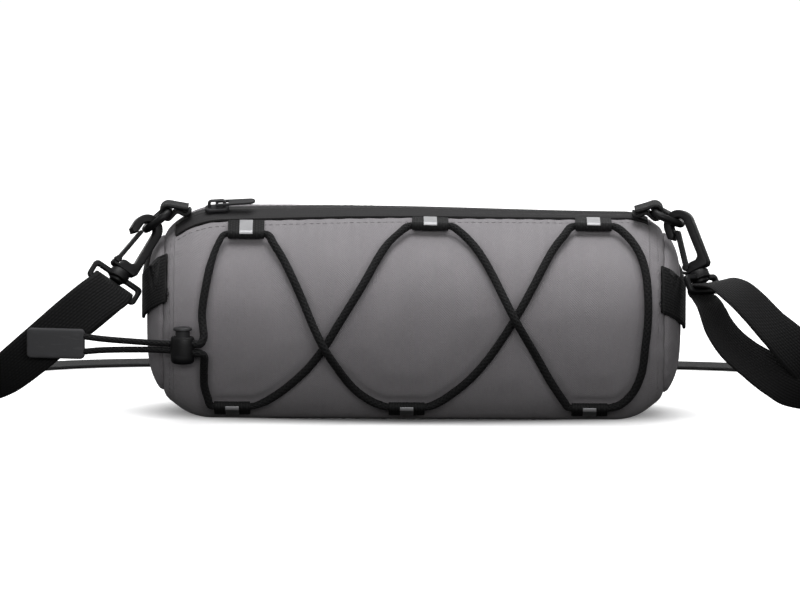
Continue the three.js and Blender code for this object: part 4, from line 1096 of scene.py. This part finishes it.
hook, gate, strap_ring = hook_shape(), gate_shape(), strap_ring_shape()
up_edge, side_edge, long_edge = np.array([[0.0, 0, 1]]), np.array([[0.0, 1, 0]]), np.array([[1.0, 0, 0]])
handles = {}
for name, end in ENDS.items():
    handles[name] = handle_path(end.side)
    handle = band(handles[name], up_edge, WEBBING.wide, WEBBING.thick, slanting=True)
    handle.points = sewn_down(handle.points, handles[name])
    webbing(f"handle_{name}", handle, f"side_handle_{name}")
    ring_tab = band(tab_path(end), side_edge, WEBBING.wide - 2 * GAP, WEBBING.thick)
    webbing(f"ring_tab_{name}", ring_tab, f"d_ring_tab_{name}")
    ring = tube(ring_path(end), RING.wire, 20, closed=True)
    make(f"dee_{name}", ring, PLASTIC, [f"d_ring_{name}"])
    mould(f"snap_hook_{name}", hook.moved(hook_frame(end)), PLASTIC, f"hook_{name}")
    mould(f"snap_gate_{name}", gate.moved(hook_frame(end)), PLASTIC, f"gate_{name}", f"gate_{name}")
    mould(f"swivel_{name}", strap_ring.moved(ring_frame(end)), PLASTIC, f"strap_ring_{name}")
    loop_path = bar_loop_path(end.side * BAR_LOOP.x)
    bar_loop = band(loop_path, long_edge, BAR_LOOP.width, BAR_LOOP.thick, closed=True)
    webbing(f"bar_loop_{name}", bar_loop, f"handlebar_strap_{name}")

webbing("strap_webbing", band(*strap_lie(6), WEBBING.wide, WEBBING.thick), "shoulder_strap")

slot_length = STRAP_SLIDER.slot_end - STRAP_SLIDER.bar_half
slot_middle = STRAP_SLIDER.bar_half + slot_length / 2
windows = [rounded_box(STRAP_SLIDER.slot, slot_length, 0.8) + (0, sign * slot_middle) for sign in (-1, 1)]
slider = plate(rounded_box(STRAP_SLIDER.width, 2 * STRAP_SLIDER.half, 3), STRAP_SLIDER.thick, 0.7, windows)
slider.points += (STRAP_SLIDER.x, STRAP_SLIDER.y, STRAP_SLIDER.bottom + STRAP_SLIDER.thick / 2)
mould("strap_adjuster", slider, PLASTIC, "strap_slider")

# Stitching


def stitches(lines, pitch=3, size=2.2, thread=0.15):
    """Short arched threads along lines of points and the ways out of the cloth there."""
    shapes = []
    rise = np.array([-0.9, 0.25, 0.6, 0.6, 0.25, -0.9]) * thread
    for points, out in lines:
        run = run_along(points)
        for start in np.arange(pitch / 2, run[-1] - size, pitch):
            spots = start + spread(0, size, 5)
            path = picked(spots, run, points) + picked(spots, run, out) * rise[:, None]
            shapes.append(tube(path, thread, 6))
    return joined(shapes)


def on_band(places, edges, thick, distance, across, side=1):
    """Places on a band's face, given along and across it, and the ways out there."""
    run, along = run_along(places), steps_along(places)
    edge = square_to(np.broadcast_to(edges, places.shape), along)
    out = picked(distance, run, np.cross(along, edge) * side)
    middle = picked(distance, run, places) + picked(distance, run, edge) * across[:, None]
    return middle + out * (thick / 2), out


def sewn_box(places, edges, thick, start, end, half, side=1):
    """Lines of a sewn box with a cross in it."""
    corners = [(start, -half), (end, -half), (end, half), (start, half), (start, -half), (end, half)]
    lines = []
    for (a, w), (b, v) in [*zip(corners, corners[1:]), ((end, -half), (start, half))]:
        lines.append(on_band(places, edges, thick, spread(a, b, 12), spread(w, v, 12), side))
    return lines


along_lips = [(outer[4:-4, column], normals[4:-4, column]) for column in (6, -6)]
along_ends = [(outer[row, 10:-10], normals[row, 10:-10]) for row in (4, -5)]
seam_rows = along_lips + along_ends
make("fabric_stitching", stitches(seam_rows), GREY_THREAD)

webbing_rows = []
for name, end in ENDS.items():
    length = run_along(handles[name])[-1]
    for start, stop in ((1.5, 10), (length - 10, length - 1.5)):
        for points, out in sewn_box(handles[name], up_edge, WEBBING.thick, start, stop, 8, -end.side):
            webbing_rows.append((sewn_down(points, handles[name]), out))
make("webbing_stitching", stitches(webbing_rows, 2.6, 1.9, 0.2), BLACK_THREAD)

# Light, sky and floor

for name, (place, (width, height), power) in LIGHTS.items():
    data = bpy.data.lights.new(name, "AREA")
    data.shape, data.size, data.size_y, data.energy = "RECTANGLE", width, height, power
    lamp = added(name, data)
    lamp.location = place
    lamp.rotation_mode = "QUATERNION"
    lamp.rotation_quaternion = (Vector(place) - Vector(LIT_POINT)).to_track_quat("Z", "Y")

sky = Look("studio", "worlds", "Background")
bpy.context.scene.world = sky.owner
way = sky.node("SeparateXYZ", {0: sky.node("TexCoord").outputs["Generated"]})
fade = sky.node("ValToRGB", {0: sky.level(way.outputs["Z"], -1, 1)})
dark_end, light_end = fade.color_ramp.elements
dark_end.color = (0, 0, 0, 1)
light_end.position, light_end.color = 0.75, (0.36, 0.36, 0.365, 1)
for stop, tone in ((0.3, 0.0), (0.5, 0.22)):
    fade.color_ramp.elements.new(stop).color = (tone, tone, tone, 1)
sky.shade(Color=fade.outputs[0])

# The floor glows, apart from the strip under the bag, where its shadow stays dark.
floor_look = Look("floor")
drawn_in = floor_look.stretched("Object", (FLOOR.contact_width, 1, 1))
apart = floor_look.node("VectorMath", {0: drawn_in}, operation="LENGTH").outputs["Value"]
grain = floor_look.noise(3, coords="Object")
floor_look.shade(Base_Color=floor_look.mix(grain, (0.87, 0.87, 0.87), (0.9, 0.9, 0.9)), Roughness=0.9)
floor_look.shade(Emission_Color=(1, 1, 1, 1))
floor_look.shade(Emission_Strength=floor_look.level(apart, *FLOOR.contact, 0, FLOOR.glow))
floor_mesh = bpy.data.meshes.new("floor")
corners = [(x * FLOOR.half, y * FLOOR.half, 0) for x, y in ((-1, -1), (1, -1), (1, 1), (-1, 1))]
floor_mesh.from_pydata(corners, [], [(0, 1, 2, 3)])
floor_mesh.materials.append(floor_look.owner)
floor = added("floor", floor_mesh)
floor.visible_diffuse = floor.visible_glossy = False

bpy.context.scene.view_settings.view_transform = "Standard"
